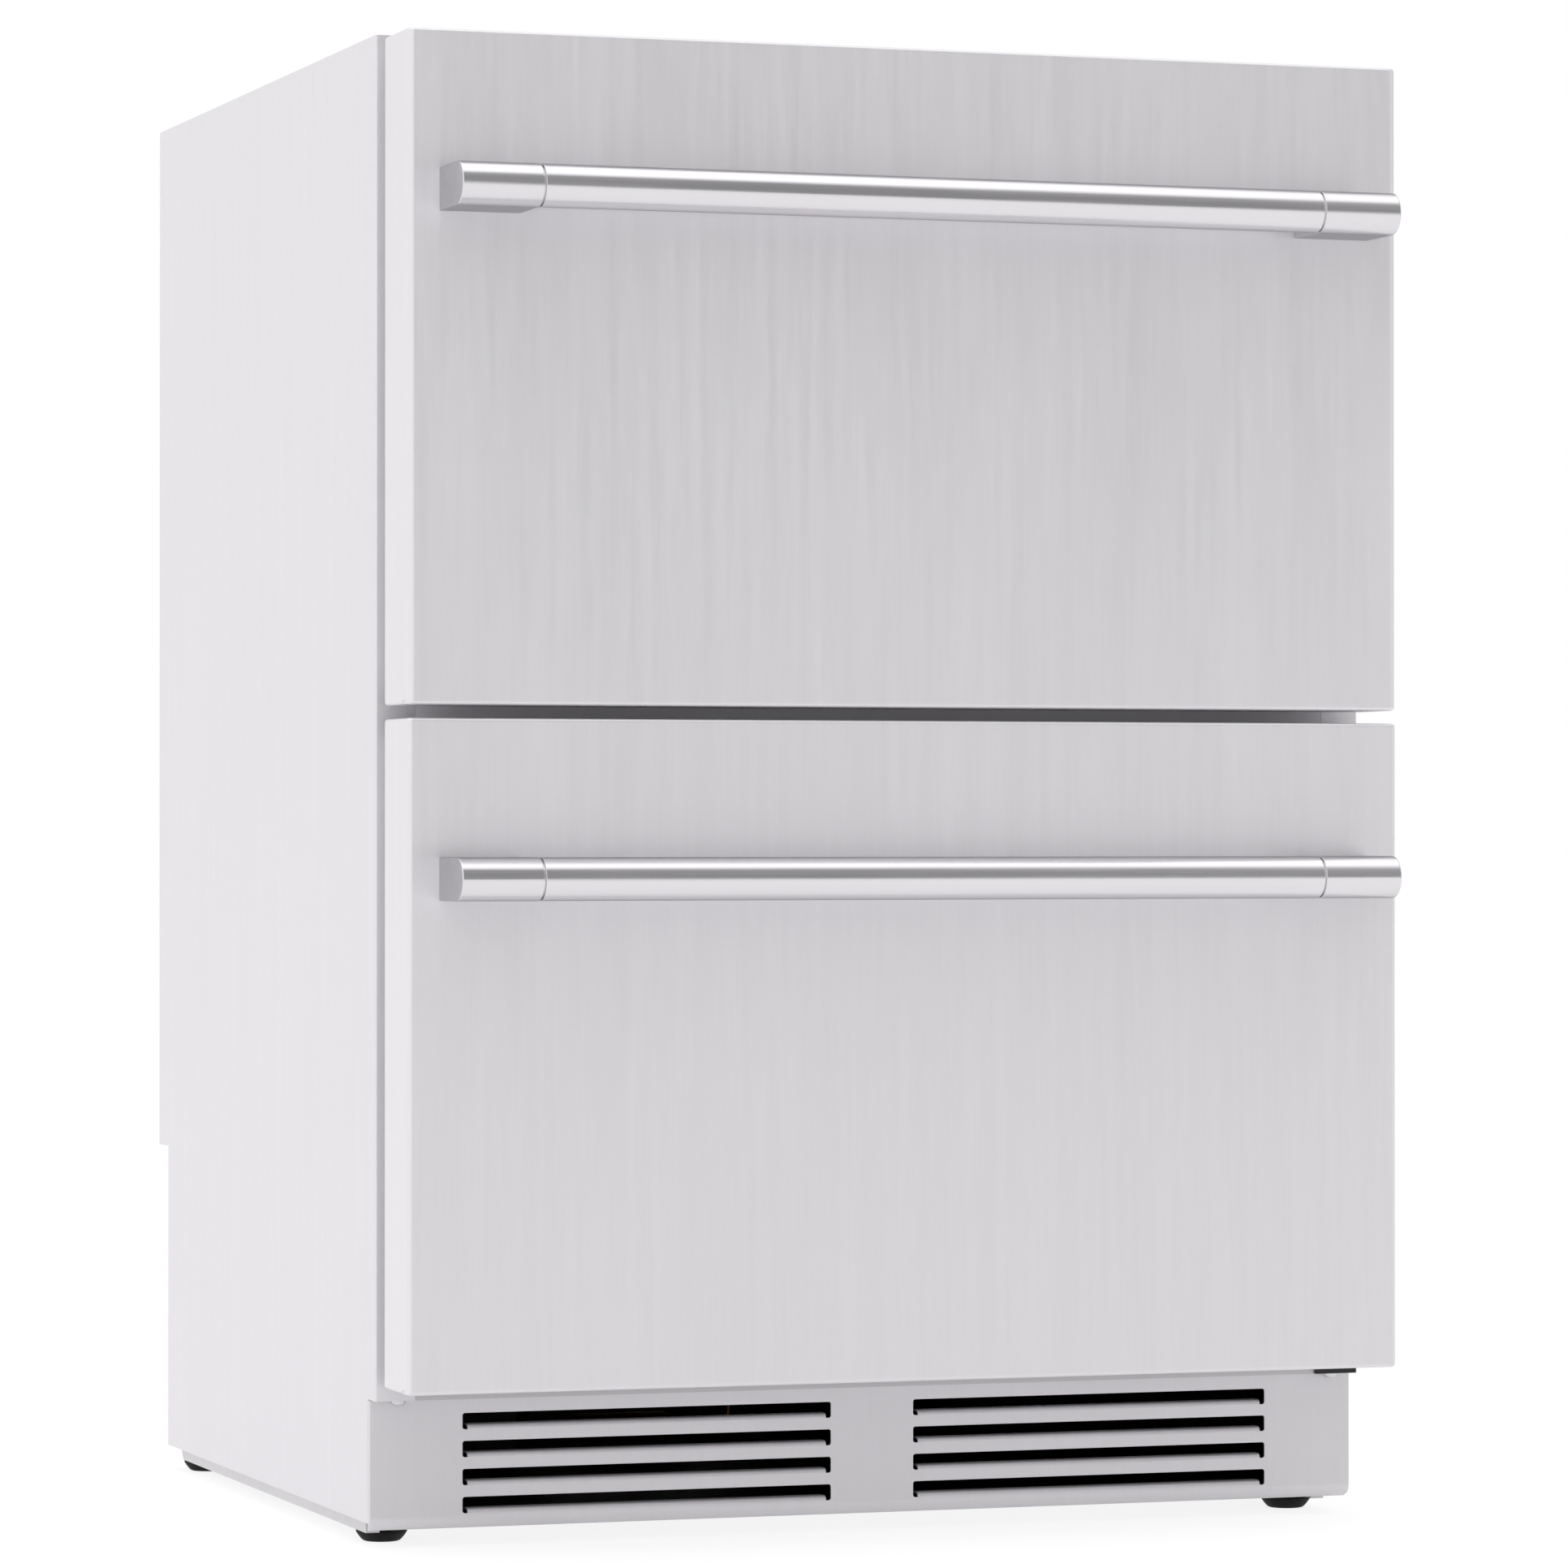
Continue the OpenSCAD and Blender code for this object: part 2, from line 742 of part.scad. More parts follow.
module compressor() {
    r = compressor_r;
    h = compressor_h;
    profile = [[0, 0], [r * 0.86, 0], [r, h * 0.1], [r, h * 0.8], [r * 0.9, h * 0.91], [r * 0.7, h * 0.97],
        [r * 0.4, h], [0, h]];
    weld_z = h * 0.62;
    stub_z = can_z + h * 0.85;
    color([0.1, 0.1, 0.11]) {
        translate([compressor_x, compressor_y, can_z]) {
            rotate_extrude() polygon(profile);
            translate([0, 0, weld_z]) cylinder(r = r + 2, h = 5);
        }
        difference() {
            translate([compressor_x - foot_x - 13, compressor_y - foot_y - 13, can_z - base_plate_t])
                cube([2 * foot_x + 26, 2 * foot_y + 26, base_plate_t + cut]);
            foot_grid()
                rod_z([0, 0, can_z - base_plate_t - cut], weld_stud_r + fit, base_plate_t + 3 * cut);
        }
        rod_z([stub_place.x, stub_place.y, stub_z], discharge_r + 1, pipe_z - stub_z);
        rod_z([suction_place.x, suction_place.y, stub_z], suction_r + 1, pipe_z - stub_z);
    }
}

module compressor_mounts() {
    profile = [
        [0, 0],
        [mount_r, 0],
        [mount_r, mount_h * 0.35],
        [mount_r * 0.75, mount_h * 0.5],
        [mount_r, mount_h * 0.65],
        [mount_r, mount_h],
        [0, mount_h]
    ];
    color("black") foot_grid() translate([0, 0, pan_top]) difference() {
        rotate_extrude() polygon(profile);
        translate([0, 0, -cut]) cylinder(r = weld_stud_r + running_fit, h = mount_h + 2 * cut);
    }
}

module relay_cover() {
    color("black") difference() {
        block([compressor_x + compressor_r * 0.7, compressor_y - relay_half_d, can_z + relay_rise],
            [compressor_x + compressor_r + relay_out, compressor_y + relay_half_d,
                can_z + relay_rise + relay_h]);
        rod_z([compressor_x, compressor_y, can_z], compressor_r + fit, compressor_h);
    }
}

condenser_tube_x = [-condenser_x - condenser_t * 0.72, -condenser_x - condenser_t * 0.28];
function condenser_tube_z(row) = condenser_z + condenser_h * (row + 0.5) / condenser_rows;

module condenser() {
    fins = floor((condenser_l - condenser_pitch) / condenser_pitch / 2);
    y_mid = condenser_y + condenser_l / 2;
    top_row = condenser_rows - 1;
    color([0.13, 0.13, 0.14]) {
        for (i = [-fins : fins])
            block([condenser_back_x, y_mid + i * condenser_pitch - fin_t / 2, condenser_z],
                [-condenser_x, y_mid + i * condenser_pitch + fin_t / 2, condenser_z + condenser_h]);
        for (y = [condenser_y - end_plate_t, condenser_y + condenser_l])
            block([condenser_back_x, y, pan_top], [-condenser_x, y + end_plate_t, condenser_top]);
        for (x = condenser_tube_x, row = [0 : top_row]) {
            is_inlet = x == condenser_tube_x[1] && row == top_row;
            is_outlet = x == condenser_tube_x[1] && row == 0;
            reach = is_inlet || is_outlet ? stub_l : end_plate_t;
            rod_y([x, condenser_y - reach, condenser_tube_z(row)], coil_r,
                condenser_l + reach + end_plate_t);
        }
    }
}

module condenser_shroud() {
    y0 = condenser_y - end_plate_t;
    y1 = condenser_y + condenser_l + end_plate_t;
    wall = 1.5;
    tip = condenser_fan_r + ring_gap;
    color([0.15, 0.15, 0.16]) {
        difference() {
            block([-condenser_x, y0, pan_top], [shroud_x, y1, condenser_top]);
            block([-condenser_x - cut, y0 + wall, pan_top + wall],
                [shroud_x - wall, y1 - wall, condenser_top - wall]);
            rod_x([shroud_x - wall - cut, condenser_fan_y, condenser_fan_z], tip, wall + 2 * cut);
        }
        translate([shroud_x - cut, condenser_fan_y, condenser_fan_z]) rotate([0, 90, 0])
            fan_ring(condenser_fan_r, fan_depth + cut);
    }
}

module condenser_fan_motor() {
    place = [shroud_x + fan_depth, condenser_fan_y, condenser_fan_z];
    color("dimgray") translate(place) rotate([0, 90, 0]) fan_motor(condenser_fan_r + ring_gap + ring_t);
}

module condenser_fan() {
    place = [shroud_x + 2 - motor_gap, condenser_fan_y, condenser_fan_z];
    color("black") translate(place) rotate([0, 90, 0]) fan_rotor(condenser_fan_r);
}

module drip_tray() {
    x0 = condenser_back_x - 12;
    x1 = -condenser_x + 12;
    y0 = condenser_y - end_plate_t;
    y1 = drain_y + 22;
    color("black") difference() {
        block([x0, y0, condenser_top], [x1, y1, condenser_top + tray_h]);
        block([x0 + tray_t, y0 + tray_t, condenser_top + tray_t],
            [x1 - tray_t, y1 - tray_t, condenser_top + tray_h + cut]);
    }
}

module drain_tube() {
    low = condenser_top + tray_t + 8;
    color("gray") difference() {
        union() {
            rod_z([drain_x, drain_y, low], drain_r, step_z - low);
            rod_z([drain_x, drain_y, step_z], drain_lip_r, drain_wall);
        }
        rod_z([drain_x, drain_y, low - cut], drain_r - drain_wall, step_z - low + drain_wall + 2 * cut);
    }
}

module filter_drier() {
    neck_r = liquid_r + 1;
    shoulder = 12;
    profile = [
        [0, 0],
        [neck_r, 0],
        [drier_r, shoulder],
        [drier_r, drier_l - shoulder],
        [neck_r, drier_l],
        [0, drier_l]
    ];
    color("goldenrod") translate([drier_x, drier_y, condenser_tube_z(0)]) rotate([0, 90, 0])
        rotate_extrude() polygon(profile);
}

capillary_z = machine_h - 2.5;
capillary_turn_x = drier_x + drier_l + 30;
discharge_route = [
    [stub_place.x, stub_place.y, pipe_z],
    [stub_place.x, stub_place.y, pipe_level],
    [condenser_tube_x[1], stub_place.y, pipe_level],
    [condenser_tube_x[1], drier_y, pipe_level],
    [condenser_tube_x[1], drier_y, condenser_tube_z(condenser_rows - 1)],
    [condenser_tube_x[1], condenser_y - stub_l, condenser_tube_z(condenser_rows - 1)]
];
liquid_route = [
    [condenser_tube_x[1], condenser_y - stub_l, condenser_tube_z(0)],
    [condenser_tube_x[1], drier_y, condenser_tube_z(0)],
    [drier_x, drier_y, condenser_tube_z(0)]
];
capillary_route = [
    [drier_x + drier_l, drier_y, condenser_tube_z(0)],
    [capillary_turn_x, drier_y, condenser_tube_z(0)],
    [capillary_turn_x, drier_y, capillary_z],
    [capillary_turn_x, riser_pipe_y, capillary_z],
    [-riser_pipe_x, riser_pipe_y, capillary_z],
    [-riser_pipe_x, riser_pipe_y, evaporator_row_z(0)],
    [-riser_pipe_x, evaporator_tube_y, evaporator_row_z(0)],
    [-evaporator_w / 2 - stub_l, evaporator_tube_y, evaporator_row_z(0)]
];
suction_route = [
    [evaporator_w / 2 + stub_l, evaporator_tube_y, evaporator_row_z(3)],
    [riser_pipe_x, evaporator_tube_y, evaporator_row_z(3)],
    [riser_pipe_x, riser_pipe_y, evaporator_row_z(3)],
    [riser_pipe_x, riser_pipe_y, pipe_level],
    [suction_place.x, riser_pipe_y, pipe_level],
    [suction_place.x, suction_place.y, pipe_level],
    [suction_place.x, suction_place.y, pipe_z]
];

module refrigerant_tubes() {
    color("peru") {
        tube_run(discharge_route, discharge_r, bend_r);
        tube_run(liquid_route, liquid_r, bend_r);
        tube_run(capillary_route, capillary_r, bend_r);
        tube_run(suction_route, suction_r, bend_r);
    }
}

// The ways that the two rising tubes take through the roof, the foam and the liner
module riser_holes() {
    tube_run(capillary_route, capillary_r + fit, bend_r);
    tube_run(suction_route, suction_r + fit, bend_r);
}

module control_box() {
    y = machine_y + box_gap;
    color([0.2, 0.2, 0.21]) block([-half_w + control_box_side, y, pan_top],
        [condenser_back_x - box_gap, y + control_box_l, pan_top + control_box_h]);
}

module cord_gland() {
    color("black") difference() {
        union() {
            rod_y([gland_x, cover_y - 10, gland_z], gland_r - running_fit, 10 + cut);
            rod_y([gland_x, cover_y, gland_z], gland_r + 4, 3);
        }
        rod_y([gland_x, cover_y - 10 - cut, gland_z], cord_hole_r, 13 + 2 * cut);
    }
}

module base_pan() {
    front = kick_y + kick_fold;
    back = cover_y - sheet_t;
    rail_x = half_w - rail_inset;
    rail_chamfer = rail_h * 0.8;
    rail_outline = [
        [front + rail_setback, pan_z + cut],
        [front + rail_setback, pan_z - rail_h],
        [back - 20, pan_z - rail_h],
        [back - 20 + rail_chamfer, pan_z - rail_h + rail_chamfer],
        [back - 20 + rail_chamfer, pan_z + cut]
    ];
    color("silver") difference() {
        union() {
            centred_block(inside_x, front, back, pan_z, pan_top);
            both_sides() {
                block([inside_x - sheet_t, front + kick_return + 2, pan_top - cut],
                    [inside_x, back - sheet_t, pan_top + upstand_h]);
                yz_slab(rail_outline, rail_x - rail_w, rail_x);
            }
            foot_grid() rod_z([0, 0, pan_top - cut], weld_stud_r, mount_h + base_plate_t + 5 + cut);
        }
        for (p = leg_places) rod_z([p.x, p.y, pan_z - cut], stud_r + fit, pan_t + 2 * cut);
    }
}

// ---- Control panel and lights ----

module control_panel() {
    color([0.08, 0.08, 0.09]) centred_block(control_half_l, control_y, control_y + control_d,
        cave_ceiling - light_h, cave_ceiling);
}

module light_bars() {
    y = control_y + control_d + light_h;
    color("lightyellow") {
        centred_block(light_half_l, y, y + light_d, cave_ceiling - light_h, cave_ceiling);
        centred_block(light_half_l, lip_y + light_setback, lip_y + light_setback + light_d,
            mullion_bottom - light_h, mullion_bottom);
    }
}

// ---- Kick plate, corner plate and screws ----

// One louvre with its top at z: the cut through the face
module louvre_opening(x0, z) {
    block([x0, kick_y - cut, z - louvre_h - louvre_lip], [x0 + louvre_l, kick_y + sheet_t + cut, z]);
}

// The tab of the louvre, which rolls inwards from the bottom of its opening
module louvre_tab(x0, z) {
    tab_l = louvre_l - 2 * louvre_cut;
    shelf = louvre_h + louvre_lip - PI / 2 * (louvre_lip - sheet_t / 2);
    translate([x0 + louvre_cut, kick_y + louvre_lip, z - louvre_h - louvre_lip]) {
        difference() {
            rod_x([0, 0, 0], louvre_lip, tab_l);
            rod_x([-cut, 0, 0], louvre_lip - sheet_t, tab_l + 2 * cut);
            block([-cut, -louvre_lip - cut, -louvre_lip - cut], [tab_l + cut, louvre_lip + cut, 0]);
            block([-cut, 0, -louvre_lip - cut], [tab_l + cut, louvre_lip + cut, louvre_lip + cut]);
        }
        block([0, -cut / 10, louvre_lip - sheet_t], [tab_l, shelf, louvre_lip]);
    }
}

// The fold from the plate's face into the cabinet's right side
module kick_fold_corner() {
    h = kick_top - kick_bottom;
    translate([half_w - kick_fold, kick_y + kick_fold, kick_bottom]) difference() {
        cylinder(r = kick_fold, h = h);
        translate([0, 0, -cut]) cylinder(r = kick_fold - sheet_t, h = h + 2 * cut);
        block([-kick_fold - cut, -kick_fold - cut, -cut], [0, kick_fold + cut, h + cut]);
        block([-cut, 0, -cut], [kick_fold + cut, kick_fold + cut, h + cut]);
    }
}

module kick_plate() {
    starts = [-louvre_middle / 2 - louvre_l, louvre_middle / 2];
    color("lightgray") {
        difference() {
            union() {
                centred_block(half_w - kick_fold + cut / 10, kick_y, kick_y + sheet_t,
                    kick_bottom, kick_top);
                both_sides() {
                    kick_fold_corner();
                    block([inside_x - sheet_t, kick_y + sheet_t * 1.5, pan_top + fit],
                        [inside_x, kick_y + kick_return, kick_top]);
                }
                centred_block(inside_x - sheet_t - fit, kick_y + sheet_t - cut, kick_y + kick_return,
                    kick_top - sheet_t, kick_top);
            }
            for (x0 = starts, row = [0 : louvre_rows - 1])
                louvre_opening(x0, toe_h - louvre_drop - row * louvre_pitch);
        }
        for (x0 = starts, row = [0 : louvre_rows - 1])
            louvre_tab(x0, toe_h - louvre_drop - row * louvre_pitch);
    }
}

corner_screw_x = half_w - 15;
corner_screw_y = frame_y + 6;
corner_screw_r = 2;
corner_head_r = 4.2;
corner_head_h = 3.2;

module corner_screw_holes() {
    both_sides() rod_z([corner_screw_x, corner_screw_y, toe_h - cut], corner_screw_r + running_fit, 9);
}

module corner_screws() {
    color("whitesmoke") both_sides() {
        rod_z([corner_screw_x, corner_screw_y, toe_h - corner_head_h], corner_head_r, corner_head_h);
        rod_z([corner_screw_x, corner_screw_y, toe_h - cut], corner_screw_r, 8);
    }
}

// The dark plate on the frame's bottom right corner
module corner_plate() {
    plate_w = 26;
    plate_t = 2;
    plate_h = 6;
    color([0.14, 0.14, 0.15]) block([half_w - 1.5 - plate_w, frame_y - plate_t, toe_h],
        [half_w - 1.5, frame_y, toe_h + plate_h]);
}

// ---- Legs ----

module leg_nuts() {
    color("silver") for (p = leg_places) difference() {
        translate([p.x, p.y, pan_top]) cylinder(r = nut_r, h = nut_h, $fn = 6);
        rod_z([p.x, p.y, pan_top - cut], stud_r + running_fit, nut_h + 2 * cut);
    }
}

module leg(place) {
    foot_r = foot_d / 2;
    profile = [
        [0, 0],
        [foot_face_d / 2, 0],
        [foot_r, foot_chamfer],
        [foot_r, foot_h],
        [0, foot_h]
    ];
    color([0.06, 0.06, 0.06]) translate([place.x, place.y, 0]) {
        rotate_extrude() polygon(profile);
        translate([0, 0, foot_h - cut]) cylinder(r = collar_r, h = pan_z - foot_h - fit + cut, $fn = 6);
        cylinder(r = stud_r, h = stud_top);
    }
}

// ---- Slides ----

// One channel of a slide on the right side: web, then flanges over a stretch from the liner
module slide_channel(z, h, web_from, flange_from, flange_to) {
    module part(s0, s1, z0, z1) {
        block([cave_x - s1, slide_y, z0], [cave_x - s0, slide_y + slide_l, z1]);
    }
    part(web_from, web_from + slide_t, z - h / 2, z + h / 2);
    part(flange_from, flange_to, z + h / 2 - slide_t, z + h / 2);
    part(flange_from, flange_to, z - h / 2, z - h / 2 + slide_t);
}

module outer_slides() {
    color("lightsteelblue") for (z = [upper_slide_z, lower_slide_z])
        both_sides() slide_channel(z, slide_h, 0, 0, slide_lip);
}

module middle_slides(z) {
    color("lightsteelblue") both_sides() slide_channel(z, mid_h, mid_s, mid_s, slide_lip);
}

module inner_slides(z) {
    color("lightsteelblue") both_sides() slide_channel(z, inner_h, slide_w - slide_t, inner_s, slide_w);
}

// ---- Drawers: z is the bottom edge of the front ----

module handle_screw_holes(z, r, y0, y1) {
    both_sides() rod_y([handle_screw_x, y0, z + front_h - handle_drop], r, y1 - y0);
}

module front_skin(z) {
    color("gainsboro") difference() {
        centred_block(front_w / 2, face_y, panel_y, z, z + front_h);
        centred_block(front_w / 2 - skin_t, face_y + skin_t, panel_y + cut,
            z + skin_t, z + front_h - skin_t);
        handle_screw_holes(z, handle_screw_d / 2 + fit, face_y - cut, face_y + skin_t + cut);
    }
}

module front_foam(z) {
    color("khaki") difference() {
        centred_block(front_w / 2 - skin_t, face_y + skin_t, panel_y - inner_panel_t,
            z + skin_t, z + front_h - skin_t);
        handle_screw_holes(z, handle_screw_head_r + fit, face_y,
            face_y + skin_t + handle_screw_head_h + fit);
    }
}

module inner_panel(z) {
    color("white") centred_block(front_w / 2 - skin_t, panel_y - inner_panel_t, panel_y,
        z + skin_t, z + front_h - skin_t);
}

// One layer of the seal, drawn in by a distance at both of its edges
module seal_layer(z, y0, y1, narrow) {
    outer = front_w / 2 - seal_inset - narrow;
    inner = front_w / 2 - seal_inset - seal_w + narrow;
    low = seal_inset + narrow;
    inner_low = seal_inset + seal_w - narrow;
    difference() {
        centred_block(outer, y0, y1, z + low, z + front_h - low);
        centred_block(inner, y0 - cut, y1 + cut, z + inner_low, z + front_h - inner_low);
    }
}

module seal(z) {
    base = 3.5;
    magnet = 4.5;
    color("lightgray") {
        seal_layer(z, panel_y, panel_y + base, 0);
        seal_layer(z, panel_y + base - cut, frame_y - magnet, 2.5);
        seal_layer(z, frame_y - magnet - cut, frame_y - fit, 0);
    }
}

module handle_bar(z) {
    half = bracket_x - seam;
    color("silver") difference() {
        rod_x([-half, bar_y, z + front_h - handle_drop], bar_r, 2 * half);
        rod_x([-half - cut, bar_y, z + front_h - handle_drop], bar_r - bar_wall, 2 * half + 2 * cut);
    }
}

module handle_brackets(z) {
    bar_z = z + front_h - handle_drop;
    color("silver") difference() {
        both_sides() {
            block([bracket_x, bar_y, bar_z - bar_r], [bracket_x + bracket_l, face_y, bar_z + bar_r]);
            rod_x([bracket_x, bar_y, bar_z], bar_r, bracket_l);
            rod_x([bracket_x - spigot_l, bar_y, bar_z], bar_r - bar_wall - running_fit, spigot_l + cut);
        }
        handle_screw_holes(z, handle_screw_d / 2 + running_fit, face_y - handle_screw_in - 2, face_y + cut);
    }
}

module handle_screws(z) {
    color("dimgray") {
        handle_screw_holes(z, handle_screw_d / 2, face_y - handle_screw_in, face_y + skin_t + cut);
        handle_screw_holes(z, handle_screw_head_r, face_y + skin_t, face_y + skin_t + handle_screw_head_h);
    }
}

module box_rim(top) {
    centred_block(box_x + rim_w, frame_y + sheet_t, box_back + box_clear / 2, top - rim_t, top);
}

module upper_drawer_box() {
    color("white") difference() {
        union() {
            centred_block(box_x, panel_y, box_back, upper_floor, upper_rim);
            box_rim(upper_rim);
        }
        centred_block(box_x - box_t, panel_y + box_t, box_back - box_t, upper_floor + box_t,
            upper_rim + cut);
    }
}

module lower_drawer_box() {
    function outline(in, head) = [
        [panel_y + in, lower_floor + in],
        [box_riser - in, lower_floor + in],
        [box_riser - in, lower_rear_floor + in],
        [box_back - in, lower_rear_floor + in],
        [box_back - in, head],
        [panel_y + in, head]
    ];
    color("white") difference() {
        union() {
            yz_slab(outline(0, lower_rim), -box_x, box_x);
            box_rim(lower_rim);
        }
        yz_slab(outline(box_t, lower_rim + cut), -box_x + box_t, box_x - box_t);
    }
}

// ---- Every node by name ----

left_side_panel();
right_side_panel();
top_panel();
rear_panel();
underfloor_panel();
machine_cover();
rear_screws();
base_pan();
mullion_bar();
bottom_rail();
foam_insulation();
liner();
evaporator_cover();
evaporator();
evaporator_fan_motor();
evaporator_fan();
compressor();
compressor_mounts();
relay_cover();
condenser();
condenser_shroud();
condenser_fan_motor();
condenser_fan();
drip_tray();
drain_tube();
filter_drier();
refrigerant_tubes();
control_box();
control_panel();
light_bars();
cord_gland();
kick_plate();
corner_plate();
corner_screws();
leg_nuts();
leg(leg_places[0]);  // leg_front_left
leg(leg_places[1]);  // leg_front_right
leg(leg_places[2]);  // leg_rear_left
leg(leg_places[3]);  // leg_rear_right
outer_slides();
middle_slides(upper_slide_z);  // upper_middle_slides
middle_slides(lower_slide_z);  // lower_middle_slides
front_skin(upper_z);  // upper_front_skin
front_foam(upper_z);  // upper_front_foam
inner_panel(upper_z);  // upper_inner_panel
seal(upper_z);  // upper_seal
handle_bar(upper_z);  // upper_handle_bar
handle_brackets(upper_z);  // upper_handle_brackets
handle_screws(upper_z);  // upper_handle_screws
upper_drawer_box();
inner_slides(upper_slide_z);  // upper_inner_slides
front_skin(lower_z);  // lower_front_skin
front_foam(lower_z);  // lower_front_foam
inner_panel(lower_z);  // lower_inner_panel
seal(lower_z);  // lower_seal
handle_bar(lower_z);  // lower_handle_bar
handle_brackets(lower_z);  // lower_handle_brackets
handle_screws(lower_z);  // lower_handle_screws
lower_drawer_box();
inner_slides(lower_slide_z);  // lower_inner_slides
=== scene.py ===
"""Undercounter refrigerator with two drawers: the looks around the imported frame.

Metres. +Z is up, -Y is the front and +X is the right side seen from the front.
"""

import json
from math import cos, pi, radians, sin

import bmesh
import bpy
from mathutils import Matrix, Vector


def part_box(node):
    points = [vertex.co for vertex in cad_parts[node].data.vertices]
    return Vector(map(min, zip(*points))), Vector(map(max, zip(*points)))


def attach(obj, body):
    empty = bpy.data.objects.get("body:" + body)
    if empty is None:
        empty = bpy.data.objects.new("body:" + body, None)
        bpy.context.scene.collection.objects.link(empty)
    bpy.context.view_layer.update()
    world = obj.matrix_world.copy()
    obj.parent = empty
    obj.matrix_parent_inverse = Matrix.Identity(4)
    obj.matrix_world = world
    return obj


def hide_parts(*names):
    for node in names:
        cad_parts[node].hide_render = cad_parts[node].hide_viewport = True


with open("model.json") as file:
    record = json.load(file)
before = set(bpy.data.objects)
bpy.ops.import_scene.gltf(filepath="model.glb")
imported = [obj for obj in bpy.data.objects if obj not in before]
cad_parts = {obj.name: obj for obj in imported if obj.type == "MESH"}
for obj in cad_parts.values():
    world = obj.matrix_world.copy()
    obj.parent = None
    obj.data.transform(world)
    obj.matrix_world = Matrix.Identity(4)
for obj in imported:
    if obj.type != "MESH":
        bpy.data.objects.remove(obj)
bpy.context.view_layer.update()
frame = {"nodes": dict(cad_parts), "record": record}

MM = 0.001
TOLERANCE = 0.01 * MM  # two places closer than this count as one
OVERRUN = 1 * MM  # how far a cutter, or a solid to be joined on, reaches past the face that it meets
DRAWERS = ("upper", "lower")
LETTERS = "xyz"

# ---------------------------------------------------------------- modelling by hand


def deselect():
    bpy.ops.object.select_all(action="DESELECT")


def focus(piece):
    deselect()
    piece.select_set(True)
    bpy.context.view_layer.objects.active = piece


def settle(name):
    """Names the new piece and puts its place, turn and scale into its mesh."""
    piece = bpy.context.active_object
    piece.name = name
    piece.data.name = name
    bpy.ops.object.transform_apply(location=True, rotation=True, scale=True)
    return piece


def block(name, low, high):
    """A box between two corners."""
    low, high = Vector(low), Vector(high)
    deselect()
    bpy.ops.mesh.primitive_cube_add(size=1, location=(low + high) / 2)
    bpy.context.active_object.scale = high - low
    return settle(name)


TURNS = {"x": (0, pi / 2, 0), "y": (-pi / 2, 0, 0), "z": (0, 0, 0)}


def axis_of(letter):
    return Vector([float(letter == other) for other in LETTERS])


def rod(name, start, radius, length, axis="z", sides=48):
    """A cylinder that runs from a point along an axis."""
    deselect()
    bpy.ops.mesh.primitive_cylinder_add(
        vertices=sides, radius=radius, depth=length,
        location=Vector(start) + axis_of(axis) * length / 2, rotation=TURNS[axis]
    )
    return settle(name)


def choose(piece, kind, test):
    """In edit mode, selects the vertices, edges or faces that pass a test, and nothing else."""
    bpy.ops.mesh.select_mode(type=kind)
    bpy.ops.mesh.select_all(action="DESELECT")
    shape = bmesh.from_edit_mesh(piece.data)
    parts = {"VERT": shape.verts, "EDGE": shape.edges, "FACE": shape.faces}[kind]
    for part in parts:
        if test(part):
            part.select_set(True)
    shape.select_flush_mode()
    bmesh.update_edit_mesh(piece.data)


def pick(piece, kind, test=lambda part: True):
    """Goes into edit mode with a selection."""
    focus(piece)
    bpy.ops.object.mode_set(mode="EDIT")
    choose(piece, kind, test)


def leave():
    bpy.ops.object.mode_set(mode="OBJECT")


def extrude(move=(0, 0, 0)):
    bpy.ops.mesh.extrude_region_move(TRANSFORM_OT_translate={"value": tuple(move)})


def stretch(x=1.0, y=1.0, z=1.0, about=(0, 0, 0)):
    bpy.ops.transform.resize(value=(x, y, z), center_override=tuple(about))


def inset(width, depth=0.0):
    bpy.ops.mesh.inset(thickness=width, depth=depth)


def middle(part):
    """The middle of an edge or face."""
    corners = [v.co for v in part.verts]
    return sum(corners, Vector()) / len(corners)


def facing(axis, sign):
    """A test for faces whose normal points along an axis."""
    return lambda face: face.normal[LETTERS.index(axis)] * sign > 0.95


def near(value, target):
    return abs(value - target) < TOLERANCE


def edges_along(axis, **places):
    """A test for edges that run along an axis, at places such as y=0.1, or x_abs=0.1 for both sides."""
    index = LETTERS.index(axis)

    def test(edge):
        run = edge.verts[1].co - edge.verts[0].co
        if abs(run[index]) < 0.999 * run.length:
            return False
        at = middle(edge)
        values = {key: at[LETTERS.index(key[0])] for key in places}
        return all(
            near(abs(values[key]) if key.endswith("_abs") else values[key], place)
            for key, place in places.items()
        )

    return test


def level_edges(z):
    """A test for edges that lie at a height."""
    return lambda edge: all(near(vert.co.z, z) for vert in edge.verts)


def across_x(edge):
    """Whether both ends of an edge have the same x."""
    return near(edge.verts[0].co.x, edge.verts[1].co.x)


def bevel_picked(piece, kind, test, width, segments=4):
    pick(piece, kind, test)
    bpy.ops.mesh.bevel(offset=width, segments=segments, affect="EDGES", clamp_overlap=True)
    leave()


def delete_faces(piece, test):
    pick(piece, "FACE", test)
    bpy.ops.mesh.delete(type="FACE")
    leave()


def split(piece, axis, *places):
    """Cuts every face of a piece in two at planes across an axis."""
    for place in places:
        pick(piece, "FACE")
        bpy.ops.mesh.bisect(plane_co=axis_of(axis) * place, plane_no=axis_of(axis))
        leave()


def modify(piece, kind, **settings):
    focus(piece)
    change = piece.modifiers.new(kind.title(), kind)
    for name, value in settings.items():
        setattr(change, name, value)
    bpy.ops.object.modifier_apply(modifier=change.name)
    return piece


def ease_edges(piece, width, segments=2, angle=35):
    """Rounds every sharp edge a little."""
    return modify(piece, "BEVEL", width=width, segments=segments, limit_method="ANGLE",
                  angle_limit=radians(angle), use_clamp_overlap=True)


